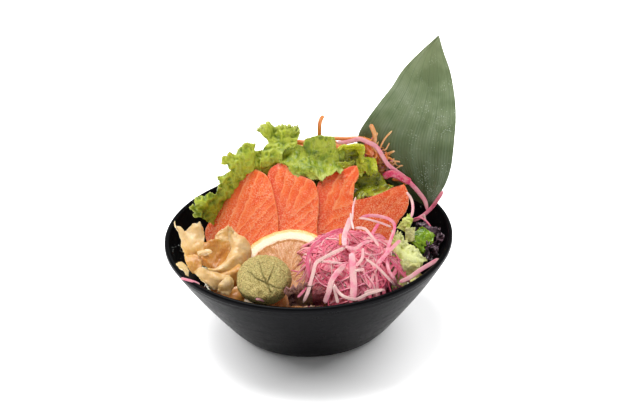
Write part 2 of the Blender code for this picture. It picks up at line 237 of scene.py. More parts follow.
def shreds(name, paths, widths, thicknesses, tints, ups, material, slot, replaces=(), sides=6):
    """Flat shreds in one piece. paths is (shreds, points, 3), and ups is which way each of them faces."""
    many, points = paths.shape[:2]
    tangent = unit(np.gradient(paths, axis=1))
    up = np.broadcast_to(ups.reshape(-1, 1, 3) if ups.ndim == 2 else ups, paths.shape)
    side = unit(np.cross(tangent, up))
    up = np.cross(side, tangent)
    taper = np.maximum((1 - np.abs(np.linspace(-1, 1, points)) ** 10) ** 0.35, 0.06)[None, :, None, None]
    angle = (np.arange(sides) + 0.5) * FULL_TURN / sides
    wide, deep = (
        (np.sign(a) * np.abs(a) ** 0.4)[None, None, :, None] * (size / 2).reshape(-1, 1, 1, 1)
        for a, size in ((np.cos(angle), widths), (np.sin(angle), thicknesses))
    )
    rings = paths[:, :, None] + taper * (side[:, :, None] * wide + up[:, :, None] * deep)
    caps = cap_faces(sides, 0, True), cap_faces(sides, (points - 1) * sides)
    one = np.concatenate([grid_faces(points, sides, wrap=True), *caps])
    faces = (one[None] + (np.arange(many) * points * sides)[:, None, None]).reshape(-1, 4)
    shape = (many, points, sides)
    values = {
        "tint": np.broadcast_to(tints.reshape(-1, 1, 1), shape),
        "along": np.broadcast_to(np.linspace(0, 1, points)[None, :, None], shape),
        "across": np.broadcast_to(np.cos(angle)[None, None, :], shape),
    }
    return add_piece(name, rings.reshape(-1, 3), faces, material, slot, replaces, values)


def surface_of(node):
    """The CAD node's surface, for dropping points onto it."""
    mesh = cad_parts[node].data
    points = [v.co.copy() for v in mesh.vertices]
    return BVHTree.FromPolygons(points, [tuple(p.vertices) for p in mesh.polygons])


def drop(tree, x, y):
    """The height of the surface under this place, and the way it faces there, or None outside it."""
    spot, facing = tree.ray_cast(Vector((x, y, 1.0)), Vector((0, 0, -1)))[:2]
    return None if spot is None else (spot.z, facing)


def settle(z, start, share):
    """Heights above start are pressed down to a share of what they were above it."""
    return np.where(z > start, start + (z - start) * share, z)


def core_of(name, node, material, slot, sink, size, start=1.0, share=1.0):
    """A copy of a heap's CAD solid, smoothed, sunk and made lumpy: what shows between the loose shreds."""
    shape = bmesh.new()
    shape.from_mesh(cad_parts[node].data)
    bmesh.ops.remove_doubles(shape, verts=shape.verts, dist=MERGE)
    bmesh.ops.subdivide_edges(shape, edges=shape.edges[:], cuts=3, use_grid_fill=True)
    bmesh.ops.triangulate(shape, faces=shape.faces[:])
    for _ in range(6):
        bmesh.ops.smooth_vert(
            shape, verts=shape.verts, factor=0.5, use_axis_x=True, use_axis_y=True, use_axis_z=True
        )
    shape.normal_update()
    for vertex in shape.verts:
        bump = noise.turbulence(vertex.co / size, 3, False)
        vertex.co += vertex.normal * (CORE_LUMP * (bump - 0.5) - sink)
        vertex.co.z = settle(vertex.co.z, start, share)
    return add_piece(name, *vertices_and_faces(shape), material, slot, (node,))


# ------------------------------------------------------------------ materials


def linear(r, g, b):
    """A colour of 0 to 255 in sRGB, as the shader's linear one."""
    return *((c / 255 / 12.92 if c <= 10 else ((c / 255 + 0.055) / 1.055) ** 2.4) for c in (r, g, b)), 1.0


class Paint:
    """A material under construction. Its methods add a node and return that node's output.

    Colours are given as three numbers of 0 to 255 in sRGB.
    """

    def __init__(self, name, **fixed):
        self.material = bpy.data.materials.new(name)
        self.material.use_nodes = True
        self.tree = self.material.node_tree
        self.shader = self.tree.nodes["Principled BSDF"]
        for key, value in fixed.items():
            self.shader.inputs[key.replace("_", " ")].default_value = value
        self.places = self.node("ShaderNodeTexCoord").outputs["Object"]

    def node(self, kind, inputs=None, **settings):
        made = self.tree.nodes.new(kind)
        for key, value in settings.items():
            setattr(made, key, value)
        for key, value in (inputs or {}).items():
            self.feed(made.inputs[key], value)
        return made

    def feed(self, socket, value):
        if isinstance(value, bpy.types.NodeSocket):
            self.tree.links.new(value, socket)
        else:
            socket.default_value = linear(*value) if socket.type == "RGBA" else value

    def finish(self, colour, roughness, normal=None):
        self.feed(self.shader.inputs["Base Color"], colour)
        self.feed(self.shader.inputs["Roughness"], roughness)
        if normal is not None:
            self.feed(self.shader.inputs["Normal"], normal)
        return self.material

    def attribute(self, name):
        return self.node("ShaderNodeAttribute", attribute_name=name).outputs["Fac"]

    def vector(self, x, y, z=0.0):
        return self.node("ShaderNodeCombineXYZ", {0: x, 1: y, 2: z}).outputs[0]

    def stretched(self, x, y, z):
        inputs = {0: self.places, 1: (x, y, z)}
        return self.node("ShaderNodeVectorMath", inputs, operation="MULTIPLY").outputs[0]

    def noise(self, size, detail=2.0, vector=None, roughness=0.5, distortion=0.0):
        """Noise whose features are about size metres across, or 1 / size units of the given vector."""
        inputs = {"Vector": vector or self.places, "Scale": 1 / size, "Detail": detail}
        inputs |= {"Roughness": roughness, "Distortion": distortion}
        return self.node("ShaderNodeTexNoise", inputs).outputs["Fac"]

    def cells(self, vector):
        return self.node("ShaderNodeTexVoronoi", {"Vector": vector, "Scale": 1.0}).outputs["Distance"]

    def maths(self, operation, a, b=0.0):
        return self.node("ShaderNodeMath", {0: a, 1: b}, operation=operation).outputs[0]

    def plus(self, a, b):
        return self.maths("ADD", a, b)

    def times(self, a, b):
        return self.maths("MULTIPLY", a, b)

    def fraction(self, a):
        return self.maths("FRACT", a)

    def off_middle(self, a):
        """How far a is from a half."""
        return self.maths("ABSOLUTE", self.maths("SUBTRACT", a, 0.5))

    def between(self, value, low, high, new_low=0.0, new_high=1.0):
        inputs = {"Value": value, "From Min": low, "From Max": high, "To Min": new_low, "To Max": new_high}
        return self.node("ShaderNodeMapRange", inputs).outputs[0]

    def spread(self, value, low, high):
        """Noise as a value from low to high."""
        return self.between(value, 0.3, 0.7, low, high)

    def ramp(self, value, *stops):
        made = self.node("ShaderNodeValToRGB", {"Fac": value})
        elements = made.color_ramp.elements
        while len(elements) < len(stops):
            elements.new(0.5)
        for element, (place, colour) in zip(elements, stops):
            element.position = place
            element.color = linear(*colour)
        return made.outputs["Color"]

    def blend(self, share, a, b):
        return self.node("ShaderNodeMix", {0: share, 6: a, 7: b}, data_type="RGBA").outputs[2]

    def bump(self, height, distance, strength=1.0, normal=None):
        inputs = {"Height": height, "Distance": distance, "Strength": strength}
        if normal is not None:
            inputs["Normal"] = normal
        return self.node("ShaderNodeBump", inputs).outputs[0]


def bowl_finish():
    p = Paint("bowl_finish", Specular_IOR_Level=0.05)
    streaks = p.noise(0.010, 3, p.stretched(0.6, 0.6, 2.2))
    spots = p.noise(0.0022, 3)
    colour = p.ramp(streaks, (0.3, (4, 4, 6)), (0.7, (9, 9, 12)))
    roughness = p.between(p.plus(streaks, spots), 0.7, 1.3, 0.27, 0.42)
    return p.finish(colour, roughness, p.bump(streaks, 0.00015, 0.5, p.bump(spots, 0.00012, 0.5)))


def salmon_flesh():
    """band counts the pale lines, and the mask named for wetness is where glints are painted on as highlights.
    deep is where it is painted darker as shade, along the side that lies under the slice before, and rim is a
    cut edge, painted lighter as a highlight.
    """
    p = Paint(
        "salmon_flesh", Subsurface_Weight=0.2, Subsurface_Scale=0.003, Subsurface_Radius=(1.0, 0.45, 0.2),
        Coat_Weight=0.1, Coat_Roughness=0.25,
    )
    band = p.fraction(p.plus(p.attribute("band"), p.spread(p.noise(0.0050), -0.12, 0.12)))
    stripes = p.ramp(
        band, (0.0, (255, 176, 116)), (0.05, (255, 150, 84)), (0.15, (250, 120, 52)), (0.5, (244, 100, 30)),
        (0.86, (233, 80, 16)), (0.95, (244, 108, 44)), (1.0, (255, 176, 116)),
    )
    wet = p.attribute("wet")
    plain = p.maths("MAXIMUM", p.between(p.noise(0.012), 0.48, 0.64, 0.0, 0.4), p.times(wet, 0.35))
    colour = p.blend(plain, stripes, (243, 94, 28))
    colour = p.blend(p.between(p.noise(0.007), 0.48, 0.75, 0.0, 0.45), colour, (236, 78, 20))
    # Painted shade: darker along the side that lies under the slice before.
    colour = p.blend(p.times(p.attribute("deep"), 0.8), colour, (214, 58, 8))
    # Painted highlight: lighter along the cut edges.
    colour = p.blend(p.times(p.attribute("rim"), 0.7), colour, (254, 150, 90))
    # Painted highlights: pale glints where the flesh is wet.
    glints = p.times(p.between(p.noise(0.0009, roughness=0.75), 0.52, 0.59), wet)
    colour = p.blend(p.times(glints, 0.75), colour, (255, 180, 138))
    lines = p.bump(p.off_middle(band), 0.0003, 0.3)
    normal = p.bump(p.noise(0.0011, 3, roughness=0.6), 0.0005, 0.38, lines)
    return p.finish(colour, p.spread(p.noise(0.002), 0.25, 0.45), normal)


def lemon_peel():
    """radius is 0 at the middle and 1 at the rind, turn counts round it, and wall is a segment's skin."""
    p = Paint(
        "lemon_slice", Subsurface_Weight=0.15, Subsurface_Scale=0.004, Subsurface_Radius=(1.0, 0.7, 0.35),
        Coat_Weight=0.2, Coat_Roughness=0.2,
    )
    radius, turn = p.attribute("radius"), p.attribute("turn")
    fibres = p.noise(1.0, 3, p.vector(p.times(turn, 17.0), p.times(radius, 7.0)), 0.6)
    sacs = p.cells(p.vector(p.times(turn, 9.0), p.times(radius, 6.0)))
    flesh = p.ramp(fibres, (0.25, (190, 108, 44)), (0.5, (204, 132, 70)), (0.8, (222, 158, 98)))
    flesh = p.blend(p.between(sacs, 0.0, 0.9, 0.0, 0.35), flesh, (238, 170, 90))
    flesh = p.blend(p.times(p.attribute("wall"), 0.35), flesh, (242, 206, 166))
    # Painted highlights: fine pale glints on the wet pulp.
    flesh = p.blend(p.between(p.noise(0.0009, roughness=0.7), 0.54, 0.62, 0.0, 0.5), flesh, (250, 206, 158))
    pores = p.noise(0.0011)
    edge = p.plus(radius, p.spread(p.noise(0.003), -0.008, 0.008))
    rings = p.ramp(
        edge, (0.775, (246, 222, 190)), (0.80, (246, 228, 192)), (0.905, (248, 232, 196)),
        (0.935, (248, 206, 110)), (0.97, (244, 166, 40)),
    )
    pith = p.between(edge, 0.765, 0.785)
    height = p.times(p.plus(sacs, fibres), p.maths("SUBTRACT", 1.0, pith))
    normal = p.bump(pores, 0.0004, 0.5, p.bump(height, 0.0006, 0.6))
    return p.finish(p.blend(pith, flesh, rings), p.spread(pores, 0.22, 0.4), normal)


def wasabi_paste():
    """groove is where the ball is pressed in; it is painted darker there, as shade in the grooves and dents."""
    p = Paint("wasabi_paste", Subsurface_Weight=0.1, Subsurface_Scale=0.002)
    grain = p.noise(0.0009, 4, roughness=0.75)
    colour = p.ramp(grain, (0.36, (108, 90, 36)), (0.47, (174, 152, 82)), (0.62, (224, 206, 138)))
    colour = p.blend(p.between(p.noise(0.006, 3), 0.4, 0.7, 0.0, 0.4), colour, (184, 172, 102))
    # Painted shade in the pressed grooves and dents.
    colour = p.blend(p.attribute("groove"), colour, (104, 96, 40))
    return p.finish(colour, p.spread(grain, 0.5, 0.75), p.bump(grain, 0.0009, 0.8))


def ginger_flesh():
    """inner is how amber the petal is, and u and v run over it."""
    p = Paint(
        "ginger", Subsurface_Weight=0.35, Subsurface_Scale=0.004, Subsurface_Radius=(1.0, 0.75, 0.25),
        Coat_Weight=0.12, Coat_Roughness=0.25,
    )
    fibres = p.noise(1.0, 3, p.vector(p.times(p.attribute("u"), 30.0), p.times(p.attribute("v"), 6.0)), 0.6)
    amber = p.plus(p.attribute("inner"), p.spread(p.noise(0.006), -0.18, 0.18))
    colour = p.ramp(amber, (0.0, (234, 198, 148)), (0.5, (217, 161, 76)), (1.0, (190, 117, 10)))
    colour = p.blend(p.between(fibres, 0.4, 0.7, 0.0, 0.22), colour, (244, 214, 172))
    normal = p.bump(fibres, 0.00025, 0.5, p.bump(p.noise(0.0016, 3), 0.0004, 0.5))
    return p.finish(colour, p.spread(p.noise(0.002), 0.3, 0.5), normal)


def leaf_green(name, dark, mid, light, edge, gloss=0.42, crinkle=0.0018, veins=7.0, soft=0.12):
    """u and v run over the leaf, v to its edge, and fold is low in its dips. The colour is partly the leaf's own
    mottling and partly painted shade in the dips and painted light on the ridges, and it turns to the edge
    colour at the rim as a painted highlight.
    """
    p = Paint(
        name, Subsurface_Weight=soft, Subsurface_Scale=0.003, Subsurface_Radius=(0.8, 0.8, 0.2),
        Coat_Weight=0.12, Coat_Roughness=0.25,
    )
    u, v = p.attribute("u"), p.attribute("v")
    mottle = p.noise(crinkle, 3, roughness=0.6)
    # The leaf's own mottling, with painted shade in the dips and painted light on the ridges.
    tone = p.plus(p.times(p.attribute("fold"), 0.65), p.times(mottle, 0.15))
    tone = p.plus(tone, p.times(p.noise(0.009), 0.2))
    colour = p.ramp(tone, (0.22, dark), (0.43, mid), (0.60, light))
    # Painted highlight along the frilled edge.
    colour = p.blend(p.between(v, 0.90, 1.0, 0.0, 0.75), colour, edge)
    way = p.plus(p.times(u, veins), p.between(p.noise(0.006), 0.0, 1.0, -0.8, 0.8))
    line = p.between(p.off_middle(p.fraction(way)), 0.0, 0.06, 1.0, 0.0)
    rib = p.times(line, p.between(v, 0.55, 0.95, 1.0, 0.0))
    colour = p.blend(p.times(rib, 0.55), colour, edge)
    normal = p.bump(rib, 0.0005, 0.6, p.bump(mottle, 0.0012, 0.7))
    return p.finish(colour, p.spread(mottle, gloss - 0.1, gloss + 0.1), normal)


def bamboo_green():
    """u runs across the leaf and v from its stalk to its tip."""
    p = Paint("bamboo_green", Coat_Weight=0.15, Coat_Roughness=0.3)
    u, v = p.attribute("u"), p.attribute("v")
    ridge = p.off_middle(p.fraction(p.times(u, 34.0)))
    broad_veins = p.off_middle(p.fraction(p.times(u, 6.0)))
    # Cloudy patches from green to a paler grey-green: the leaf's sheen, painted in.
    bloom = p.noise(0.016, 3)
    colour = p.ramp(bloom, (0.35, (90, 108, 66)), (0.5, (118, 135, 94)), (0.7, (142, 156, 122)))
    low = p.times(p.between(v, 0.62, 0.3), p.between(p.noise(0.02), 0.2, 0.6, 0.6, 1.0))
    colour = p.blend(low, colour, (54, 74, 4))
    colour = p.blend(p.between(v, 0.7, 1.0, 0.0, 0.6), colour, (150, 158, 112))
    colour = p.blend(p.between(ridge, 0.0, 0.5, 0.25, 0.0), colour, (60, 84, 44))
    colour = p.blend(p.between(broad_veins, 0.0, 0.06, 0.55, 0.0), colour, (70, 92, 50))
    # Drops of water as pale dots in patches: painted highlights, raised with a bump.
    dots = p.cells(p.vector(p.times(u, 42.0), p.times(v, 75.0)))
    wet = p.times(p.between(dots, 0.30, 0.16), p.between(p.noise(0.011), 0.47, 0.62))
    wet = p.times(wet, p.between(u, 0.3, 0.7, 0.25, 1.0))
    colour = p.blend(p.times(wet, 0.6), colour, (206, 220, 196))
    normal = p.bump(wet, 0.0005, 0.7, p.bump(ridge, 0.00035, 0.6))
    return p.finish(colour, p.spread(p.noise(0.003), 0.34, 0.5), normal)


def shred_paint(name, *stops, gloss=0.28, soft=0.3, coat=0.25):
    """tint picks a shred's colour along the stops."""
    p = Paint(
        name, Subsurface_Weight=soft, Subsurface_Scale=0.003, Subsurface_Radius=(1.0, 0.4, 0.4),
        Coat_Weight=coat, Coat_Roughness=0.15,
    )
    pale, deep = stops[0][1], stops[-1][1]
    tint, across = p.attribute("tint"), p.attribute("across")
    fine = p.noise(0.0007, 3)
    colour = p.ramp(p.plus(tint, p.spread(p.noise(0.005), -0.22, 0.2)), *stops)
    colour = p.blend(p.between(p.maths("ABSOLUTE", across), 0.6, 1.0, 0.0, 0.2), colour, deep)
    run = p.vector(p.times(across, 1.8), p.times(p.attribute("along"), 5.0), p.times(tint, 9.0))
    colour = p.blend(p.between(p.noise(1.0, 2, run, 0.6), 0.45, 0.68, 0.0, 0.4), colour, pale)
    colour = p.blend(p.between(fine, 0.55, 0.75, 0.0, 0.4), colour, pale)
    return p.finish(colour, p.spread(fine, gloss - 0.08, gloss + 0.12), p.bump(fine, 0.0004, 0.5))


def core_paint(name, dark, mid, light, size):
    p = Paint(name, Coat_Weight=0.3, Coat_Roughness=0.2)
    strands = p.noise(size, 4, p.stretched(1.0, 1.0, 0.6), 0.6, 1.5)
    colour = p.ramp(strands, (0.3, dark), (0.5, mid), (0.68, light))
    return p.finish(colour, p.spread(strands, 0.4, 0.6), p.bump(strands, 0.0012, 0.6))


def water_finish():
    # The drops are painted from dark to mid grey: the lighter greys are painted highlights in the clear water.
    p = Paint("water_beads", Specular_IOR_Level=0.8)
    colour = p.ramp(p.noise(0.004), (0.3, (30, 34, 32)), (0.7, (96, 104, 100)))
    return p.finish(colour, 0.04, p.bump(p.noise(0.001), 0.0001, 0.3))


def floor_paper():
    p = Paint("floor", Specular_IOR_Level=0.1)
    colour = p.ramp(p.noise(0.4), (0.3, (243.45, 243.45, 244.04)), (0.7, (246.99, 246.99, 246.99)))
    return p.finish(colour, 0.9)


SALMON = salmon_flesh()
LETTUCE = leaf_green("lettuce_green", (84, 106, 2), (130, 152, 10), (178, 190, 50), (206, 214, 110))
# A darker, glossier copy of the lettuce: the wet leaf's own darker green, and painted shade for the hollow of
# the curl and the leaf in the shade behind the slices.
WET_LETTUCE = leaf_green("wet_and_shaded_lettuce", (50, 58, 1), (100, 108, 3), (158, 166, 24), (196, 204, 84), 0.22)
LIME = leaf_green("lime_lettuce", (108, 126, 2), (170, 182, 8), (212, 218, 60), (216, 224, 90), 0.3)
PALE = leaf_green(
    "pale_green", (138, 146, 44), (200, 204, 102), (230, 234, 160), (222, 226, 146), 0.4, 0.0024, 4.0
)
PALE_FRILL = leaf_green("frill_green", (120, 142, 20), (176, 192, 62), (214, 222, 122), (208, 218, 110))
OLIVE = leaf_green("olive_lettuce", (120, 122, 30), (176, 174, 88), (208, 204, 134), (204, 206, 130))
DEEP_GREEN = leaf_green(
    "garnish_green", (44, 72, 0), (88, 128, 0), (134, 168, 8), (150, 180, 24), 0.16, 0.0021, soft=0.0
)
PURPLE = leaf_green("purple_wet", (8, 4, 6), (30, 16, 22), (92, 66, 78), (150, 120, 134), 0.12, soft=0.0)
BROWN_LEAF = leaf_green("brown_leaf", (70, 30, 36), (120, 70, 66), (160, 112, 96), (166, 112, 110), 0.24)
RED_LEAF = leaf_green("red_leaf", (84, 22, 34), (128, 44, 56), (166, 80, 84), (170, 90, 96), 0.24)
GINGER = ginger_flesh()
RADISH = shred_paint(
    "radish_shreds", (0.0, (236, 194, 186)), (0.3, (240, 156, 170)), (0.6, (234, 98, 138)),
    (1.0, (218, 36, 92)), gloss=0.3, soft=0.1, coat=0.2,
)
RADISH_RIBBON = shred_paint(
    "radish_ribbons", (0.0, (244, 186, 180)), (0.3, (242, 150, 164)), (0.6, (234, 104, 136)),
    (1.0, (220, 52, 98)), gloss=0.5, soft=0.05, coat=0.0,
)
RADISH_CORE = core_paint("radish_core", (216, 50, 92), (240, 108, 134), (250, 172, 172), 0.0055)
CARROT = shred_paint(
    "carrot_shreds", (0.0, (246, 190, 130)), (0.4, (238, 146, 66)), (0.8, (228, 112, 30)),
    (1.0, (206, 84, 16)),
)
CARROT_CORE = core_paint("carrot_core", (168, 76, 20), (216, 116, 46), (236, 160, 96), 0.0028)
BED = shred_paint(
    "bed_shreds", (0.0, (240, 238, 222)), (0.4, (222, 222, 184)), (0.75, (190, 204, 130)),
    (1.0, (224, 180, 120)), soft=0.2,
)
BED_CORE = core_paint("bed_core", (120, 116, 70), (176, 172, 126), (216, 212, 172), 0.003)

# ------------------------------------------------------------------ the bowl

bowl_low, bowl_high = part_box("bowl")
RIM = (bowl_high.x - bowl_low.x) / 2
HEIGHT = bowl_high.z - bowl_low.z
FLOOR, FLOOR_RADIUS = 0.005, 0.049
# (radius, height) up the inner wall
INNER_WALL = quadratic((0.0555, 0.009), (0.0788, 0.037), (RIM - 0.0033, HEIGHT - 0.002), 40)
# The least distance that the food keeps from the bowl
GAP = 0.0015


def keep_inside(points):
    """Pulls points in from the bowl's wall and floor."""
    height = np.clip(points[..., 2], FLOOR + GAP, None)
    room = np.interp(height, np.r_[FLOOR, INNER_WALL[:, 1]], np.r_[FLOOR_RADIUS, INNER_WALL[:, 0]]) - GAP
    room = np.where(height > HEIGHT, np.inf, room)
    reach = np.hypot(points[..., 0], points[..., 1])
    share = np.minimum(1, room / np.maximum(reach, TINY))
    return np.stack([points[..., 0] * share, points[..., 1] * share, height], -1)


def from_rim(inwards, down):
    """(radius, height) of a place given in millimetres from the rim's outer and upper edge."""
    return RIM - mm(inwards), HEIGHT - mm(down)


def bowl_profile():
    """(radius, height) from the middle of the inside, over the rim, to the middle of the underside."""
    floor = [(0.0, FLOOR), (0.02, FLOOR), (0.046, FLOOR + 0.0001), (0.051, FLOOR + 0.0013)]
    lip = quadratic(from_rim(3.0, 0.8), from_rim(1.8, -0.4), from_rim(0.4, 0.6), 8)
    band = [from_rim(0, 1.2), from_rim(0, 3.2), from_rim(0.4, 3.7), from_rim(1.1, 4.2)]
    outer = quadratic(from_rim(1.5, 6.0), (0.0814, 0.037), (0.0585, 0.006), 44)
    heel = quadratic((0.0578, 0.0053), (0.054, 0.0), (0.050, 0.0), 8)
    return np.concatenate([floor, INNER_WALL, lip, band, outer, heel, [(0.03, 0.0), (0.0, 0.0)]])


def make_bowl():
    profile, steps = bowl_profile(), 150
    angle = np.arange(steps) * FULL_TURN / steps
    radius, height = profile[:, None, 0], profile[:, None, 1]
    turned = np.stack(np.broadcast_arrays(radius * np.cos(angle), radius * np.sin(angle), height), -1)
    faces = grid_faces(len(profile), steps, wrap=True)
    piece = add_piece("bowl_turned", turned.reshape(-1, 3), faces, bowl_finish(), "black_melamine", ("bowl",))
    face_outwards(piece, merge=True)


# ------------------------------------------------------------------ salmon

# The mound that the slices lie on: its height above the bowl's middle, and how it rises to the back and falls
# to the sides
CREST, SLOPE, SIDE_FALL = 0.088, 0.9, 4.6
SLICE_LINES, SLICE_COLUMNS = 84, 66
SLICE_THICKNESS, THIN_SHARE = 0.0058, 0.62
ROUND = 0.0007
# Where the rings of points are on a slice's cut side, from its upper to its under edge
WALL_STEPS = (0.25, 0.5, 0.75)


def mound(x, y):
    return CREST + SLOPE * y - SIDE_FALL * x * x


# Each slice: its left and right edges from the front to the back, how far they stand above the mound,
# where its pale lines turn back, which way that turn points, half the angle between its arms,
# and the lines' spacing
SLICES = (
    ([(7, 1), (0, 14), (-1.2, 20.6), (2, 24), (5.5, 27.3), (8.5, 31), (13, 34), (18.4, 36.7), (23.8, 38.4),
      (28.7, 39.6), (31.6, 39.8)],
     [(31, -7), (41.7, -3.5), (47.4, 2), (47.8, 11.5), (47.2, 15.9), (46.2, 20.5), (45.2, 24.7), (43.6, 29.5),
      (41.7, 32.8), (39, 35.4), (34, 38.4)], (0.0, 2.6), (34, 23), 50, 13, 6.2),
    ([(3.6, -7), (3.5, 1), (3.3, 10.8), (2.8, 18.2), (1.4, 25), (-0.2, 30.5), (-1.5, 34.9), (-0.3, 38),
      (2.4, 39.6), (5.3, 40.4), (7.7, 40.5)],
     [(29.7, -9), (30.1, -1), (30.6, 6.7), (31.5, 12.5), (31.9, 16.9), (31.6, 21), (30.5, 24.9), (28.3, 27.6),
      (20.6, 30.6), (14.1, 33.9), (9.6, 38.8)], (-0.4, 2.6), (14.5, 13), 49, 17, 6.0),
    ([(-3.2, -7), (-2.7, 1), (-2, 8.3), (-1.4, 15.6), (-1.3, 22.2), (-1.3, 27.4), (1.5, 31.7), (8.3, 34.9),
      (16.9, 38), (20.8, 40), (24.7, 41.4)],
     [(19.7, -6), (20.5, 2), (21.4, 9.9), (22, 16.6), (22.5, 22.5), (23.5, 27.5), (23.9, 31.1), (26, 33.9),
      (27.3, 36.4), (27.1, 39), (26, 41.2)], (-0.4, 0.0), (5, 13), 48, 14, 5.6),
    ([(6.6, -2.2), (2.4, 2.8), (-1, 8.1), (-1.6, 13.8), (-1.6, 20.3), (-0.4, 26.2), (7, 29.1), (13.8, 32.1),
      (20.6, 36), (27.6, 40.7), (32.6, 43.5)],
     [(17.7, -0.8), (23.3, 6.5), (25.8, 13), (26.9, 18.9), (30, 24.7), (34.2, 29.9), (37.1, 35.1),
      (37.9, 39.2), (37.7, 42.8), (36.5, 45), (35, 46.2)], (2.0, 0.5), (24, -3), 50, 3, 3.6),
)
# How darkly a slice is painted in all, how much painted shade its shaded side adds, and how much more of it is
# painted wet, with glints, than the others
SHADES = {1: (0.0, 0.3, 0.0), 4: (0.45, 0.3, 0.4)}


def crowded(count, share):
    """count places from 0 to 1, closer together at both ends."""
    even = np.linspace(0, 1, count)
    return mix(even, 0.5 - 0.5 * np.cos(math.pi * even), share)


def make_slice(number, left, right, lift, turn, way, spread, spacing):
    lines, columns = SLICE_LINES, SLICE_COLUMNS
    u, v = np.meshgrid(crowded(columns, 0.7), crowded(lines, 0.6))
    node = f"salmon_slice_{number}"
    a, b = (through(near(node, [(*p, 0) for p in side]), v[:, 0])[:, None] for side in (left, right))
    nick = mm(0.35) * np.abs(drift(number + 30, v, u * 0, 34, 1)) * ease((u - 0.8) * 5)
    place = mix(a, b, u[..., None]) + unit(a - b) * nick[..., None]
    x, y = place[..., 0], place[..., 1]
    steep = math.hypot(1, SLOPE)
    flat = np.stack([x, y * steep], -1)
    loop = border(lines, columns)
    from_edge = np.min(np.linalg.norm(flat[:, :, None] - flat.reshape(-1, 2)[loop], axis=-1), axis=2)
    drop_off = ROUND - np.sqrt(ROUND**2 - np.maximum(0, ROUND - from_edge) ** 2)
    swell = mm(0.6) * drift(number, u, v, 3, 4) + mm(0.25) * drift(number + 9, u, v, 9, 12)
    top = place.copy()
    top[..., 2] = mound(x, y) + mm(mix(*lift, ease(u))) + swell * ease(from_edge / 0.004)
    n = unit(np.stack([2 * SIDE_FALL * x, 0 * y - SLOPE, 0 * y + 1], -1))
    thickness = SLICE_THICKNESS * mix(1.0, THIN_SHARE, ease(u))
    upper = (top - n * drop_off[..., None]).reshape(-1, 3)
    under = (top - n * (thickness - drop_off * 0.5)[..., None]).reshape(-1, 3)
    vertices = np.concatenate([upper, under, *(mix(upper[loop], under[loop], k) for k in WALL_STEPS)])
    count = lines * columns
    rings = [2 * count + i * len(loop) + np.arange(len(loop)) for i in range(len(WALL_STEPS))]
    faces = two_skins(lines, columns, [loop, *rings, loop + count])

    # The pale lines are bent at a fold: p runs along it and q across it, in millimetres.
    apex = near(node, [(*turn, 0)])[0]
    dx, dy = (x - apex[0]) / MM, (y - apex[1]) / MM * steep
    cos, sin = math.cos(math.radians(way)), math.sin(math.radians(way))
    p, q = dx * cos + dy * sin, -dx * sin + dy * cos
    half = math.radians(spread)
    fold = np.sqrt(q**2 + 0.5)
    curl = 0.005 * np.maximum(q, 0) ** 2 - 0.002 * np.minimum(p, 0) * fold - 0.002 * np.maximum(-q, 0) ** 2
    band = (p * math.sin(half) - fold * math.cos(half) + curl) / spacing
    band += 0.3 * drift(number + 40, u, v, 2, 3) + 20
    across = u * np.linalg.norm(flat[:, -1:] - flat[:, :1], axis=-1)
    dark, shade, wetter = SHADES.get(number, (0.0, 1.0, 0.0))
    # Painted shade: darker along the left side, which lies under the slice before, most in the middle of its
    # length.
    deep = dark + shade * ease((0.010 - across) / 0.010) * (0.35 + 0.65 * ease(1 - np.abs(v - 0.45) * 1.4))
    # Where glints are painted on as if wet: most at the front, at random, and more on some slices.
    wet = np.clip(np.clip(1.2 - 1.1 * v + 0.7 * drift(number + 60, u, v, 4, 5), 0.08, 1) + wetter, 0, 1)
    # Painted highlight: a lighter line along the cut edges, away from the left side.
    rim = ease(1 - from_edge / 0.0012) * ease(u * 3 - 1)
    values = {"band": band, "wet": wet, "deep": deep, "rim": rim}
    again = np.r_[np.arange(count), np.arange(count), np.tile(loop, len(WALL_STEPS))]
    values = {key: grid.ravel()[again] for key, grid in values.items()}
    face_outwards(add_piece(f"salmon_flesh_{number}", vertices, faces, SALMON, "salmon", (node,), values))


# ------------------------------------------------------------------ lemon and wasabi

LEMON_LEAN, LEMON_TURN = math.radians(31), math.radians(-13)
# How far the slice's middle lies from the middle of its CAD box, in the slice's own plane
LEMON_SHIFT = Vector((-0.0008, -0.0035, 0.0))
LEMON_RADIUS, LEMON_THICKNESS = 0.0335, 0.004
SEGMENTS = 9
# Shares of the slice's radius: where its pulp and its segments' skins end, and how much of its rim is round
PULP_EDGE, PITH_EDGE, ROUNDING = 0.775, 0.79, 0.035


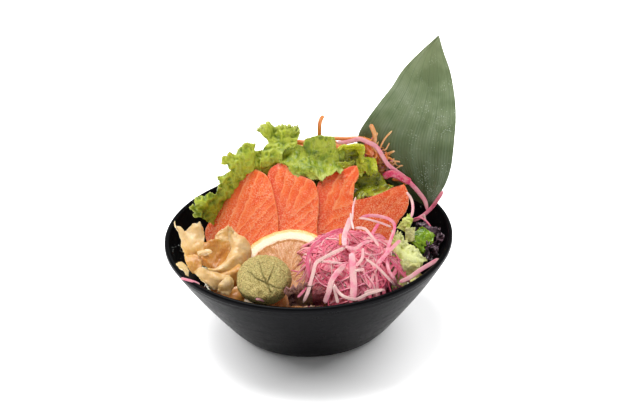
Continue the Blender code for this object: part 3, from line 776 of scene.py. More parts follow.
def make_lemon():
    low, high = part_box("lemon_slice")
    tilt = (Matrix.Rotation(LEMON_TURN, 4, "Z") @ Matrix.Rotation(LEMON_LEAN, 4, "X")).to_3x3()
    middle = (low + high) / 2 + tilt @ LEMON_SHIFT
    spokes, rings, outer_rings = 164, 42, 12
    angle = np.arange(spokes) * FULL_TURN / spokes
    share = np.r_[np.linspace(0.01, 0.9, rings - outer_rings), np.linspace(0.91, 1, outer_rings)]
    a, r = np.meshgrid(angle, share)
    segments = a / FULL_TURN * SEGMENTS + 0.12 * np.sin(3 * a + 1)
    from_wall = np.abs((segments + 0.5) % 1 - 0.5) * r * FULL_TURN / SEGMENTS * LEMON_RADIUS
    wall = ease(1 - from_wall / 0.0006) * (r < PITH_EDGE) + ease(1 - (r * LEMON_RADIUS) / 0.0022)
    wall = np.clip(wall, 0, 1)
    pulp = mm(0.22) * drift(3, a / FULL_TURN, r, 90, 9) + mm(0.3) * drift(4, a / FULL_TURN, r, 28, 5)
    sunk = np.where(r < PULP_EDGE, -0.0005, 0) * ease((PITH_EDGE - r) / 0.02 + 0.4)
    edge = np.maximum(0, (r - 1 + ROUNDING) / ROUNDING)
    height = LEMON_THICKNESS / 2 + sunk + pulp * (r < 0.77) * (1 - wall)
    height -= 0.0009 * (1 - np.sqrt(np.clip(1 - edge**2, 0, 1)))
    wobble = 1 + 0.006 * np.sin(5 * a + 0.6) + 0.003 * np.sin(23 * a) + 0.003 * np.sin(41 * a + 2)
    reach = r * LEMON_RADIUS * wobble
    front = np.stack([reach * np.cos(a), reach * np.sin(a), height], -1)
    back = front * [1, 1, -1]
    grid = np.concatenate([front, [mix(front[-1], back[-1], k) for k in (0.3, 0.7)], back[::-1]])
    points = keep_inside(grid.reshape(-1, 3) @ np.array(tilt).T + np.array(middle))
    total = len(points)
    ring = np.arange(spokes)
    fans = [(total, j, i) for i, j in zip(ring, np.roll(ring, -1))]
    fans += [(total + 1, total - spokes + i, total - spokes + j) for i, j in zip(ring, np.roll(ring, -1))]
    points = np.concatenate([points, points[:spokes].mean(0)[None], points[-spokes:].mean(0)[None]])
    values = {"radius": r, "turn": a * 2.2, "wall": wall}
    for key, g in values.items():
        bent = np.concatenate([g, g[-1:], g[-1:], g[::-1]]).ravel()
        values[key] = np.r_[bent, bent[0], bent[0]]
    faces = [*grid_faces(len(grid), spokes, wrap=True).tolist(), *fans]
    face_outwards(add_piece("lemon_cut", points, faces, lemon_peel(), "lemon", ("lemon_slice",), values))


# The pressed lines run from one point of the ball outwards. Each dent is its place, radius and depth.
MARKS_FROM = (18.9, 1.3, 21.4)
MARKS_TO = ((8, 8.6, 25.8), (14.7, 12, 29.7), (24.2, 12.3, 28.3), (29.1, 4.6, 15.2), (22.4, 1.1, 13.5))
DENTS = (((14.7, 0.3, 15.8), 3.0, 1.7), ((32.4, 7.7, 16.5), 2.4, 1.8))
# The ball fills this share of its CAD box. Its lumps are so many millimetres high and so many metres wide.
WASABI_SHARE = 0.985
WASABI_LUMPS = ((0.9, 0.009), (0.5, 0.0035), (0.35, 0.0013))


def make_wasabi():
    low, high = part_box("wasabi")
    middle, radii = np.array((low + high) / 2), np.array((high - low) / 2)
    lines, columns = 110, 172
    u, v = np.meshgrid(np.arange(columns) / columns, np.linspace(0.001, 0.999, lines))
    lon, lat = u * FULL_TURN, (v - 0.5) * math.pi
    ball = np.stack([np.cos(lat) * np.cos(lon), np.cos(lat) * np.sin(lon), np.sin(lat)], -1).reshape(-1, 3)
    points = middle + ball * radii * WASABI_SHARE
    groove, dents = np.zeros(len(points)), np.zeros(len(points))
    for end in MARKS_TO:
        route = even_path(near("wasabi", [MARKS_FROM, end]), 40) - middle
        route *= WASABI_SHARE / np.linalg.norm(route / radii, axis=1)[:, None]
        route += middle + 0.0004 * np.sin(np.linspace(0, 9, 40))[:, None] * np.array([0.6, 0.2, 0.6])
        away = np.linalg.norm(points[:, None] - route[None], axis=-1) + np.linspace(0, 0.0003, 40)
        groove = np.maximum(groove, ease(1 - np.min(away, axis=1) / 0.0009))
    for spot, size, deep in DENTS:
        away = np.linalg.norm(points - near("wasabi", spot), axis=-1)
        dents = np.maximum(dents, ease(1 - away / mm(size)) * mm(deep))
    lumps = sum(
        mm(high) * np.array([noise.noise(Vector(p) / size) for p in points]) for high, size in WASABI_LUMPS
    )
    points = points + ball * (lumps - 0.0012 * groove - dents)[:, None]
    points[:, 2] = np.maximum(points[:, 2], low.z)
    # The grooves and dents carry the painted shade.
    values = {"groove": np.clip(groove * 0.9 + dents / 0.0034, 0, 1)}
    faces = grid_faces(lines, columns, wrap=True)
    face_outwards(add_piece("wasabi_ball", points, faces, wasabi_paste(), "wasabi", ("wasabi",), values))


# ------------------------------------------------------------------ leaves


# A leaf's teeth: what is added to its seed, how far apart they are, and how deep. Then how wide its blisters and
# ruffles are. All are in millimetres.
TEETH = ((0, 0.8, 1.5), (9, 1.7, 1.5), (1, 4, 1.6))
BLISTERS = (11, 5.2, 2.8, 1.3, 4.5, 3.8)


def frilled(name, node, rows, material, seed, columns, lines, size=0.5, curl=0.2, teeth=1.0, thick=0.5,
            start=0.4, replaces=False):
    """A leaf of lines by columns points over rows of control points, from its foot to its edge.

    It is blistered, and toothed and ruffled at the edge. size and curl say how strongly, teeth how deep its
    teeth are, thick how thick it is in millimetres, and start from where on it is ruffled.
    """
    u, v = uv_grid(columns, lines)
    control = np.stack([through(near(node, row), u[0]) for row in rows])
    follow = lambda at: np.stack([through(control[:, c], at[:, c]) for c in range(columns)], 1)
    grid = follow(v)
    width = np.linalg.norm(np.diff(grid[-1], axis=0), axis=1).sum() / MM
    length = np.median(np.linalg.norm(np.diff(grid, axis=0), axis=-1).sum(0)) / MM
    bite = sum(
        deep * np.abs(drift(seed + k, u, v * 0, max(2, int(width / apart)), 1)) for k, apart, deep in TEETH
    )
    grid = follow(v - teeth * bite / length * ease((v - 0.5) / 0.5))
    rise = ease((v - start) / (1 - start))
    clouds = (cloud(seed + k, grid, mm(wide)) for k, wide in enumerate(BLISTERS, 2))
    big, middle, small, tiny, turned, swayed = clouds
    small, tiny = 1 - 2 * np.abs(small), 1 - 2 * np.abs(tiny)
    fold = 1.8 * big + 2.6 * middle * (0.5 + 0.5 * rise) + 0.9 * small + 0.22 * tiny
    fold += 5.5 * curl * turned * rise**3
    along = unit(np.gradient(grid, axis=1)) * (1.8 * swayed * rise)[..., None]
    grid = keep_inside(grid + mm(size) * (normals(grid) * fold[..., None] + along))
    # How high each point is among the blisters: the leaf is painted darker in the dips and lighter on the
    # ridges, as shade and light.
    height = np.clip(0.42 + 0.26 * (1.1 * middle + 0.9 * small + 0.4 * tiny), 0, 1)
    slot = "lettuce" if node.startswith("lettuce_") else node
    stands_for = (node,) if replaces else ()
    values = {"u": u * width / 60, "v": v, "fold": height}
    thick_sheet(name, grid, mm(thick) * (1.3 - 0.6 * v), material, slot, stands_for, values)


def make_lettuce():
    frilled("lettuce_left_leaf", "lettuce_left", [
        [(20, 2, 8), (21, 6, 11), (24, 9, 16), (26, 11, 19), (30, 13, 22), (34, 16, 27), (39, 18, 31),
         (42, 20, 34), (46, 21, 35), (49, 21, 36), (51, 20, 37)],
        [(12, -3, 19), (12, 0, 24), (14, 2, 26), (17, 5, 29), (20, 7, 28), (24, 10, 32), (26, 12, 37),
         (32, 15, 40), (32, 17, 46), (37, 20, 48), (41, 22, 53), (44, 25, 50), (48, 27, 46), (51, 30, 46)],
        [(6, -3, 18), (3, -1, 25), (9, 1, 25), (6, 3, 29), (10, 4, 32), (15, 6, 30), (21, 8, 32),
         (21, 10, 36), (24, 12, 38), (22, 14, 41), (29, 15, 43), (30, 17, 46), (25, 19, 51), (29, 21, 53),
         (34, 23, 52), (35, 25, 56), (40, 27, 58), (43, 28, 57), (43, 30, 53), (48, 32, 49), (52, 34, 50)],
    ], LETTUCE, 11, 245, 50, size=1.0, curl=0.8, replaces=True)
    frilled("lettuce_top_leaf", "lettuce_middle", [
        [(4, 1, 5), (8, 1, 6), (11, 1, 9), (15, 1, 12), (20, 1, 12)],
        [(5, 2, 12), (8, 2, 14), (12, 2, 15), (16, 3, 18), (21, 3, 19)],
        [(7, 7, 20), (11, 7, 21), (16, 7, 21), (22, 7, 21), (29, 7, 20)],
        [(11, 12, 22), (14, 12, 23), (18, 11, 24), (24, 11, 24), (30, 11, 23)],
        [(6, 16, 27), (9, 16, 28), (12, 16, 30), (15, 16, 29), (18, 16, 27), (21, 16, 28), (24, 16, 28),
         (27, 16, 28), (30, 16, 27), (32, 16, 25)],
        [(2, 20, 28), (4, 20, 30), (8, 20, 32), (12, 20, 32.5), (16, 20, 30), (18, 20, 26.5), (19, 20, 31),
         (23, 20, 33), (27, 20, 30.5), (31, 20, 32), (34, 20, 29), (32, 20, 25)],
    ], LETTUCE, 23, 173, 62, size=1.0, curl=0.5, replaces=True)
    frilled("lettuce_front_leaf", "lettuce_middle", [
        [(16, 8, 13), (21, 8, 16), (25, 8, 17), (30, 8, 18), (34, 8, 17), (37, 8, 15)],
        [(16, 8, 19), (21, 8, 21), (25, 8, 22), (30, 8, 22), (34, 7, 21), (37, 7, 19)],
        [(17, 4, 15), (23, 4, 15), (27, 3, 16), (31, 3, 16), (35, 2, 15), (38, 2, 14)],
        [(18, -1, 16), (23, -4, 14), (27, -6, 13), (31, -7, 12), (35, -8, 12), (40, -9, 11)],
        [(18, -3, 14), (22, -5, 12), (25, -8, 9), (29, -11, 6), (33, -12, 5), (36, -12, 5), (38, -14, 4),
         (40, -13, 5), (43, -13, 5), (46, -15, 3)],
    ], LETTUCE, 37, 144, 62, size=0.6, teeth=0.7, start=0.7)
    frilled("lettuce_shade", "lettuce_middle", [
        [(-3, -4, -6), (11, -1, -1), (25, -2, -2), (35, -7, -6), (43, -11, -8), (53, -7, -4), (65, -2, 0)],
        [(-3, -1, 3), (11, 1, 6), (25, 0, 6), (35, -5, 2), (43, -8, 1), (53, -3, 6), (67, 3, 7)],
        [(-3, 2, 8), (11, 4, 11), (25, 3, 12), (35, -1, 9), (43, -4, 8), (53, 1, 11), (69, 6, 10)],
    ], WET_LETTUCE, 39, 108, 34)
    frilled("lettuce_right_leaf", "lettuce_right", [
        [(1, 17, 12), (4, 17, 14), (11, 17, 14), (17, 17, 14), (20, 17, 13)],
        [(-1, 15, 22), (1, 15, 26), (5, 15, 26), (8, 15, 27), (12, 14, 27), (16, 14, 27), (20, 14, 26),
         (21, 14, 21)],
        [(1, 11, 17), (4, 11, 18), (7, 11, 18), (11, 11, 19), (14, 11, 19), (18, 11, 18), (20, 11, 18),
         (22, 11, 16)],
        [(2, 6, 13), (5, 6, 13), (8, 7, 12), (11, 7, 12), (15, 7, 12), (18, 7, 12), (21, 8, 11), (23, 8, 10)],
        [(7, -6, 8), (9, -8, 6), (11, -9, 5), (13, -7, 6), (16, -6, 7), (19, -4, 9), (22, -4, 8),
         (25, -3, 8)],
    ], LETTUCE, 41, 151, 67, size=0.6, teeth=0.7, start=0.7, replaces=True)
    frilled("lettuce_hollow", "lettuce_curl", [
        [(-13, 7, 15), (-8, 7, 15), (-3, 7, 16), (3, 7, 17)],
        [(-12, 11, 23), (-7, 11, 22), (-2, 11, 22), (3, 11, 22)],
        [(-11, 11, 30), (-6, 11, 30), (-1, 11, 30), (3, 11, 27)],
    ], WET_LETTUCE, 53, 65, 34, replaces=True)
    frilled("lettuce_rim", "lettuce_curl", [
        [(-12, 10, 25), (-9, 10, 28), (-5, 9, 28), (-1, 9, 28), (1, 9, 27), (2, 8, 23), (1, 8, 19)],
        [(-12, 7, 29), (-9, 7, 32), (-5, 7, 32), (1, 6, 33), (5, 6, 31), (5, 6, 26), (3, 6, 19)],
        [(-11, 11, 28), (-8, 11, 30), (-5, 11, 31), (1, 10, 32), (6, 10, 31), (8, 10, 25), (6, 10, 18)],
    ], LIME, 57, 122, 25, size=0.45)
    frilled("lettuce_side", "lettuce_curl", [
        [(-14, 8, 28), (-11, 8, 29), (-7, 8, 27)],
        [(-14, 5, 24), (-11, 5, 25), (-8, 6, 23)],
        [(-13, 2, 20), (-10, 3, 19), (-6, 3, 18)],
    ], LETTUCE, 59, 43, 34)
    frilled("lettuce_lime", "lettuce_curl", [
        [(0, 10, 20), (5, 10, 21), (9, 10, 21), (13, 10, 20)],
        [(0, 6, 18), (5, 6, 19), (9, 7, 18), (14, 7, 17)],
        [(0, 4, 16), (5, 4, 16), (10, 5, 15), (14, 5, 15)],
        [(0, 1, 11), (5, 1, 10), (10, 2, 10), (14, 2, 12)],
    ], LIME, 61, 72, 45, size=0.7, curl=0.3)
    frilled("lettuce_wet_leaf", "lettuce_curl", [
        [(0, 5, 11), (6, 5, 12), (11, 6, 13), (15, 6, 12), (18, 7, 9)],
        [(-1, 2, 8), (5, 3, 8), (10, 3, 8), (15, 4, 7), (20, 5, 4)],
        [(-2, -1, 3), (4, 0, 3), (9, 0, 4), (15, 1, 3), (22, 2, 2)],
        [(-5, -13, 5), (0, -12, 6), (5, -11, 7), (11, -8, 7), (17, -5, 7), (23, -2, 5)],
        [(-6, -23, 0), (0, -21, 2), (6, -18, 4), (12, -15, 4), (18, -11, 5), (23, -8, 5)],
    ], WET_LETTUCE, 67, 94, 50, size=0.8, curl=0.4)


def make_small_leaves():
    frilled("pale_leaf", "pale_lettuce", [
        [(-3, 11, 17), (-2, 8, 16), (1, 5, 13), (5, 4, 9), (10, 5, 6), (15, 7, 3)],
        [(-3, 15, 23), (-2, 12, 20), (0, 9, 17), (4, 7, 13), (10, 8, 10), (16, 9, 7)],
        [(-3, 17, 24), (1, 15, 19), (5, 14, 15), (10, 13, 12), (15, 14, 7), (19, 15, 4)],
        [(-3, 19, 26), (1, 19, 28), (4, 19, 25), (6, 18, 21), (8, 18, 17), (11, 18, 14), (14, 18, 11),
         (15, 17, 8), (18, 17, 6), (20, 17, 2)],
    ], PALE, 71, 108, 39, size=0.6, curl=0.4, teeth=1.2, thick=0.9, replaces=True)
    frilled("pale_leaf_low", "pale_lettuce", [
        [(-5, 5, 16), (0, 6, 15), (5, 7, 13), (12, 8, 10), (15, 9, 8)],
        [(-6, -1, 12), (-1, 0, 11), (5, 1, 10), (9, 2, 10), (14, 3, 8)],
        [(-5, -5, 5), (-1, -4, 5), (4, -2, 4), (9, -1, 3), (13, 0, 6)],
        [(-5, -11, 0), (0, -10, 0), (6, -7, 0), (11, -4, 1), (16, -1, 4)],
    ], OLIVE, 77, 86, 34, size=0.6, curl=0.4)
    frilled("frill_leaf", "pale_lettuce", [
        [(8, 35, 14), (11, 37, 18), (13, 39, 22)],
        [(4, 37, 16), (8, 39, 20), (11, 41, 23)],
        [(0, 39, 16), (4, 41, 20), (7, 42, 23), (10, 44, 26), (12, 45, 23)],
    ], PALE_FRILL, 83, 79, 28, curl=0.5)
    frilled("pale_rib", "pale_lettuce", [
        [(7, 29, 11), (10, 30, 10), (13, 30, 11)],
        [(7, 33, 15), (10, 34, 15), (13, 34, 14)],
        [(7, 35, 18), (11, 36, 18), (14, 37, 17)],
    ], OLIVE, 85, 43, 22, size=0.3, teeth=0.4)
    frilled("garnish_leaf", "green_garnish", [
        [(4, -7, 6), (6, -7, 4), (9, -6, 3), (13, -5, 4)],
        [(1, -3, 9), (6, -2, 9), (10, -2, 8), (14, -1, 7)],
        [(0, 1, 10), (3, 1, 12), (7, 2, 14), (10, 2, 11), (13, 3, 7), (15, 3, 4)],
    ], DEEP_GREEN, 91, 79, 34, size=0.55, curl=0.3, teeth=0.5, thick=1.0, replaces=True)
    frilled("garnish_leaf_low", "green_garnish", [
        [(3, -13, 4), (5, -12, 1), (7, -12, 2), (7, -11, 4)],
        [(0, -10, 7), (2, -9, 7), (5, -9, 5), (7, -8, 4)],
        [(-3, -6, 9), (-1, -6, 11), (2, -5, 10), (5, -5, 6)],
    ], DEEP_GREEN, 93, 65, 28, curl=0.3, teeth=0.5, thick=1.0)
    frilled("purple_leaf", "purple_lettuce", [
        [(-5, 14, 8), (-1, 14, 8), (3, 14, 7), (7, 14, 6)],
        [(-6, 17, 15), (-1, 17, 16), (3, 16, 14), (9, 16, 10)],
        [(-4, 21, 17), (1, 21, 19), (5, 20, 17), (8, 20, 14), (10, 19, 12)],
    ], PURPLE, 97, 94, 34, size=1.0, curl=1.2, teeth=1.4, replaces=True)
    frilled("purple_leaf_side", "purple_lettuce", [
        [(4, 6, 2), (6, 9, 5), (8, 11, 8), (7, 14, 9)],
        [(7, 8, 2), (9, 11, 5), (10, 13, 8), (10, 16, 11)],
        [(8, 10, 1), (11, 13, 5), (12, 15, 8), (12, 18, 10), (12, 20, 14)],
    ], PURPLE, 103, 79, 25, size=0.9, curl=1.2, teeth=1.4)
    frilled("purple_leaf_low", "purple_lettuce", [
        [(-3, -5, 5), (-1, -5, 3), (3, -6, 2)],
        [(-1, 0, 8), (1, -1, 7), (4, -3, 3)],
        [(0, 4, 8), (4, 3, 8), (6, 1, 5), (6, 0, 1)],
    ], PURPLE, 107, 79, 25, size=0.9, curl=1.2, teeth=1.4)
    frilled("brown_leaf", "purple_frill", [
        [(-1, 7, 2), (5, 7, 2), (11, 7, 1), (18, 7, 2)],
        [(-2, 4, 9), (4, 4, 11), (10, 4, 11), (18, 4, 8)],
        [(-2, 7, 12), (2, 7, 16), (8, 7, 18), (13, 7, 15), (19, 7, 11)],
    ], BROWN_LEAF, 109, 108, 34, size=0.8, curl=1.2, teeth=1.4, replaces=True)
    frilled("red_leaf", "purple_frill", [
        [(13, 5, 2), (17, 5, 2), (22, 5, 2)],
        [(13, 3, 9), (17, 3, 11), (22, 3, 10)],
        [(13, 5, 14), (17, 5, 16), (21, 5, 13)],
    ], RED_LEAF, 113, 65, 28, curl=0.3, teeth=0.8)


# The bamboo leaf's edges in its own plane, in millimetres: to the side of its foot and up from it
LEAF_LEFT = (
    (-1, -2), (-16, 6), (-32, 16), (-44, 27), (-51, 38), (-50.5, 48), (-45, 58), (-37.5, 69), (-29.5, 80),
    (-23, 91), (-13.5, 102), (-0.5, 114.6),
)
LEAF_RIGHT = (
    (0.5, -2), (4, 4.5), (9.5, 15), (12.5, 26), (13.5, 37), (14, 48), (14.2, 60), (12.8, 74), (9, 91),
    (3.6, 105), (0.3, 115),
)
LEAF_FOOT, LEAF_TIP = (45.2, 1, 1.5), (52.5, 33, 110.3)
LEAF_ACROSS = np.array([0.9918, -0.1253, -0.0262])


def make_bamboo_leaf():
    foot, tip = near("bamboo_leaf", [LEAF_FOOT, LEAF_TIP])
    rise = unit(tip - foot)
    facing = np.cross(LEAF_ACROSS, rise)
    u, v = uv_grid(70, 130)
    left, right = (through(mm(edge), v[:, 0])[:, None] for edge in (LEAF_LEFT, LEAF_RIGHT))
    flat = mix(left, right, u[..., None])
    bow = 0.004 * np.sin(math.pi * v) * 4 * u * (1 - u)
    bow += 0.00022 * np.sin(u * FULL_TURN * 6) * np.sin(math.pi * v) + 0.0007 * drift(5, u, v, 3, 5)
    grid = foot + LEAF_ACROSS * flat[..., :1] + rise * flat[..., 1:] + facing * bow[..., None]
    values, slot = {"u": u, "v": v}, "bamboo_leaf"
    thick_sheet("bamboo_blade", grid, 0.0005, bamboo_green(), slot, ("bamboo_leaf",), values)


# ------------------------------------------------------------------ pickled ginger


def petal(name, node, rows, seed, inner, thick=1.2, columns=61, lines=58, ragged=0.4, replaces=False):
    """A petal of lines by columns points over rows of control points. thick is its thickness in millimetres.

    inner is how amber it is at its foot and at its far edge, and ragged how uneven its edge is.
    """
    u, v = uv_grid(columns, lines)
    grid = net([near(node, row) for row in rows], columns, lines)
    edge = np.minimum(np.minimum(u, 1 - u), np.minimum(v, 1 - v))
    ripple = 0.45 * drift(seed, u, v, 4, 5) + 0.5 * cloud(seed + 4, grid, 0.0042)
    ripple += 0.22 * cloud(seed + 1, grid, 0.0016)
    pull = mm(ragged) * 1.5 * ease(1 - edge / 0.07) * drift(seed + 2, u, v, 18, 18)
    outwards = (grid - grid.mean((0, 1))) / 0.012
    grid = keep_inside(grid + normals(grid) * mm(ripple)[..., None] + outwards * pull[..., None])
    amber = mix(*inner, v) - 0.2 * ease(1 - edge / 0.06) + 0.2 * drift(seed + 3, u, v, 3, 3)
    values = {"u": u, "v": v, "inner": np.clip(amber, 0, 1)}
    thickness = mm(thick) * (0.22 + 0.5 * ease(edge / 0.12))
    stands_for = (node,) if replaces else ()
    thick_sheet(name, grid, thickness, GINGER, "pickled_ginger", stands_for, values)


def make_ginger():
    petal("ginger_upright_petal", "ginger_upright", [
        [(9, -1, 4), (12, 0, 4), (17, 1, 5), (21, 2, 6)],
        [(6, 4, 7), (10, 4, 8), (15, 5, 10), (20, 5, 9)],
        [(4, 9, 10), (9, 9, 12), (14, 10, 13), (18, 10, 11)],
        [(3, 14, 13), (7, 14, 15), (12, 15, 16), (18, 15, 14)],
        [(0, 18, 25), (0, 18, 21), (4, 18, 20), (5, 18, 16), (9, 19, 20), (12, 19, 21), (16, 19, 22),
         (18, 19, 17)],
    ], 5, (0.75, 0.0), replaces=True)
    petal("ginger_tongue", "ginger_upright", [
        [(14, 1, 11), (18, 0, 13), (22, -1, 14)],
        [(15, -2, 11), (19, -2, 12), (24, -3, 13)],
        [(16, -2, 10), (19, -2, 10), (21, -3, 11)],
    ], 31, (0.0, 0.1), 1.6, columns=41, lines=38)
    petal("ginger_base", "ginger_upright", [
        [(6, 1, 9), (10, 1, 9), (16, 1, 9)],
        [(7, -4, 7), (12, -4, 7), (17, -5, 7)],
        [(9, -7, 4), (13, -8, 3), (17, -9, 5)],
        [(11, -8, 1), (14, -9, 1), (17, -11, 2)],
    ], 33, (0.6, 0.8), 1.4)
    petal("ginger_cup_wall", "ginger_cup", [
        [(2, 10, 5), (6, 11, 4), (10, 12, 1), (14, 12, 2), (19, 13, 6)],
        [(2, 17, 7), (7, 18, 5), (12, 18, 4), (16, 19, 5), (21, 19, 9)],
        [(5, 22, 11), (9, 22, 10), (13, 23, 9), (17, 23, 10), (22, 23, 11)],
        [(5, 26, 12), (9, 26, 14), (13, 26, 15), (17, 26, 14), (22, 26, 13)],
    ], 17, (1.0, 0.9), replaces=True)
    petal("ginger_cup_peak", "ginger_cup", [
        [(12, 25, 13), (16, 25, 13), (22, 25, 11)],
        [(12, 29, 15), (17, 29, 16), (23, 28, 14)],
        [(15, 32, 17), (19, 32, 19), (21, 31, 21), (24, 31, 16)],
    ], 23, (0.5, 0.1), ragged=0.2)
    petal("ginger_cup_rim", "ginger_cup", [
        [(20, 30, 15), (20, 25, 10), (21, 22, 7), (20, 18, 6), (18, 14, 4), (15, 11, 3), (12, 9, 2),
         (7, 8, 3)],
        [(21, 30, 18), (22, 26, 14), (23, 22, 12), (22, 17, 10), (20, 12, 8), (16, 8, 6), (12, 6, 5),
         (7, 6, 5)],
        [(22, 31, 17), (25, 26, 15), (27, 21, 13), (26, 16, 10), (24, 11, 9), (18, 6, 6), (13, 4, 5),
         (8, 4, 6)],
        [(22, 33, 19), (26, 30, 15), (31, 27, 13), (33, 23, 9), (31, 17, 7), (28, 11, 5), (22, 7, 4),
         (15, 5, 2), (8, 4, 3)],
        [(22, 33, 15), (27, 30, 11), (32, 27, 7), (34, 22, 4), (32, 16, 2), (28, 11, 0), (22, 7, 0),
         (15, 6, 0), (8, 5, 1)],
    ], 29, (0.0, 0.3), 1.3, columns=88, lines=45, ragged=0.25)
    petal("ginger_body", "ginger_cup", [
        [(13, 7, 2), (18, 9, 2), (23, 10, 3), (28, 12, 5)],
        [(13, 2, 2), (18, 3, 2), (23, 4, 3), (28, 5, 5)],
        [(13, 1, 0), (18, 2, -1), (23, 2, -2), (27, 3, -1)],
        [(14, 2, -5), (18, 3, -7), (23, 3, -8), (27, 4, -7)],
    ], 37, (0.6, 0.9), 1.6)
    petal("ginger_skirt", "ginger_cup", [
        [(-1, 6, 3), (4, 5, 7), (8, 4, 5), (13, 3, 4), (18, 2, 3), (22, 1, 3)],
        [(2, 1, 3), (6, 0, 3), (9, 0, 3), (13, -2, 2), (17, -2, 1), (20, -2, 1)],
        [(5, -2, 1), (8, -3, -1), (11, -4, -4), (13, -4, -4), (15, -4, -2), (18, -4, -1)],
    ], 43, (0.35, 0.1), columns=54, lines=38)
    petal("ginger_under", "ginger_small", [
        [(-6, 12, -3), (1, 11, -3), (8, 11, -2), (14, 13, -1)],
        [(-4, 7, -7), (2, 5, -7), (9, 4, -7), (15, 6, -7)],
        [(-2, 4, -10), (3, 2, -10), (10, 1, -10), (15, 2, -10)],
    ], 61, (0.9, 1.0), 1.6)
    petal("ginger_small_petal", "ginger_small", [
        [(-1, 5, -1), (2, 4, -2), (6, 3, -3)],
        [(0, 7, 3), (4, 6, 3), (9, 6, 1)],
        [(2, 9, 4), (5, 9, 6), (7, 8, 8), (9, 8, 5)],
    ], 57, (0.3, 0.0), columns=41, lines=38, replaces=True)
    petal("ginger_rag", "ginger_upright", [
        [(1, -7, 8), (4, -7, 9), (6, -7, 8), (8, -7, 5)],
        [(2, -8, 7), (5, -8, 8), (7, -9, 6), (9, -9, 4)],
        [(4, -9, 5), (6, -10, 4), (7, -11, 2), (9, -11, 1)],
    ], 63, (0.0, 0.1), 0.6, columns=34, lines=32)


# ------------------------------------------------------------------ heaps of shreds


def scatter(node, count, seed, length, width, thick, lift, arch, keep=None, start=1.0, share=1.0, bend=1.4,
            points=16):
    """Curved shreds laid at random on a heap, where keep allows one.

    Their length, width, thick, lift off the surface and arch over it are in millimetres. What this gives is
    their paths, widths, thicknesses and facings, and the random generator.
    """
    rng = np.random.default_rng(seed)
    tree = surface_of(node)
    low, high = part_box(node)
    found = []
    number = np.arange(points)
    t = np.linspace(-1, 1, points)
    tries = 0
    while len(found) < count and tries < count * 30:
        tries += 1
        x, y = rng.uniform(low.x, high.x), rng.uniform(low.y, high.y)
        middle = drop(tree, x, y)
        if middle is None or (keep and not keep(x, y)):
            continue
        way = rng.uniform(0, math.pi)
        step = mm(rng.uniform(*length)) / (points - 1)
        turn = rng.normal(0, bend) / mm(22)
        s = (number - (points - 1) / 2) * step
        angle = way + turn * s / 2
        route = np.stack([x + s * np.cos(angle), y + s * np.sin(angle), 0 * s], 1)
        under = [drop(tree, px, py) for px, py, _ in route]
        seen = np.array([spot is not None for spot in under])
        if 1 - seen.mean() > 0.25:
            continue
        z = np.interp(number, number[seen], [spot[0] for spot in under if spot])
        z -= np.abs(number - np.clip(number, number[seen][0], number[seen][-1])) * step * 0.9
        for _ in range(3):
            z[1:-1] = np.maximum(z[1:-1], (z[:-2] + z[2:]) / 4 + z[1:-1] / 2)
        z += mm(rng.uniform(*lift)) + mm(rng.uniform(0, arch)) * (1 - t**2) - mm(0.9) * t**4
        route[:, 2] = settle(z, start, share)
        size = mm(rng.uniform(*width)), mm(rng.uniform(*thick))
        facing = np.array(middle[1]) + rng.normal(0, 0.5, 3)
        found.append((keep_inside(route), *size, facing))
    return *(np.array(part) for part in zip(*found)), rng


def tangle(spine, radius, count, seed, length, width, points=14):
    """Loose curled shreds lying every way round a spine: the same five things as scatter gives."""
    rng = np.random.default_rng(seed)
    middles = even_path(spine, 60)[rng.integers(0, 60, count)] + rng.normal(0, radius / 2, (count, 3))
    first = unit(rng.normal(0, 1, (count, 3)) * [1.0, 0.5, 0.8])
    second = unit(np.cross(first, rng.normal(0, 1, (count, 3))))
    run = mm(rng.uniform(*length, count))[:, None, None]
    turn = rng.uniform(-2.6, 2.6, count)[:, None, None]
    turn = np.where(np.abs(turn) < 0.2, 0.2, turn)
    angle = turn * np.linspace(-0.5, 0.5, points)[None, :, None]
    paths = (first[:, None] * np.sin(angle) + second[:, None] * (1 - np.cos(angle))) * run / turn
    ups = rng.normal(0, 0.6, (count, 3)) + [0, -0.6, 0.6]
    widths, thicknesses = mm(rng.uniform(*width, count)), mm(rng.uniform(0.5, 0.8, count))
    return keep_inside(paths + middles[:, None]), widths, thicknesses, ups, rng


def heap(name, laid, tints, chances, material, slot, sides=6):
    """Makes the shreds that scatter or tangle has laid, each in one of the tints."""
    paths, widths, thicknesses, ups, rng = laid
    tints = rng.choice(tints, len(paths), p=chances)
    shreds(name, paths, widths, thicknesses, tints, ups, material, slot, sides=sides)


# Which way the shreds that are laid one by one face: forwards and up
TOWARDS = np.array([0.0, -0.75, 0.66])


def lay(name, node, lines, material, slot, count=22, replaces=(), sides=6):
    """Makes one piece of the shreds in a table of lines, each along its own path."""
    paths = np.array([even_path(near(node, points), count) for points, *_ in lines])
    widths, thicknesses, tints = np.array([line[1:] for line in lines]).T
    shreds(name, paths, mm(widths), mm(thicknesses), tints, TOWARDS, material, slot, replaces, sides)


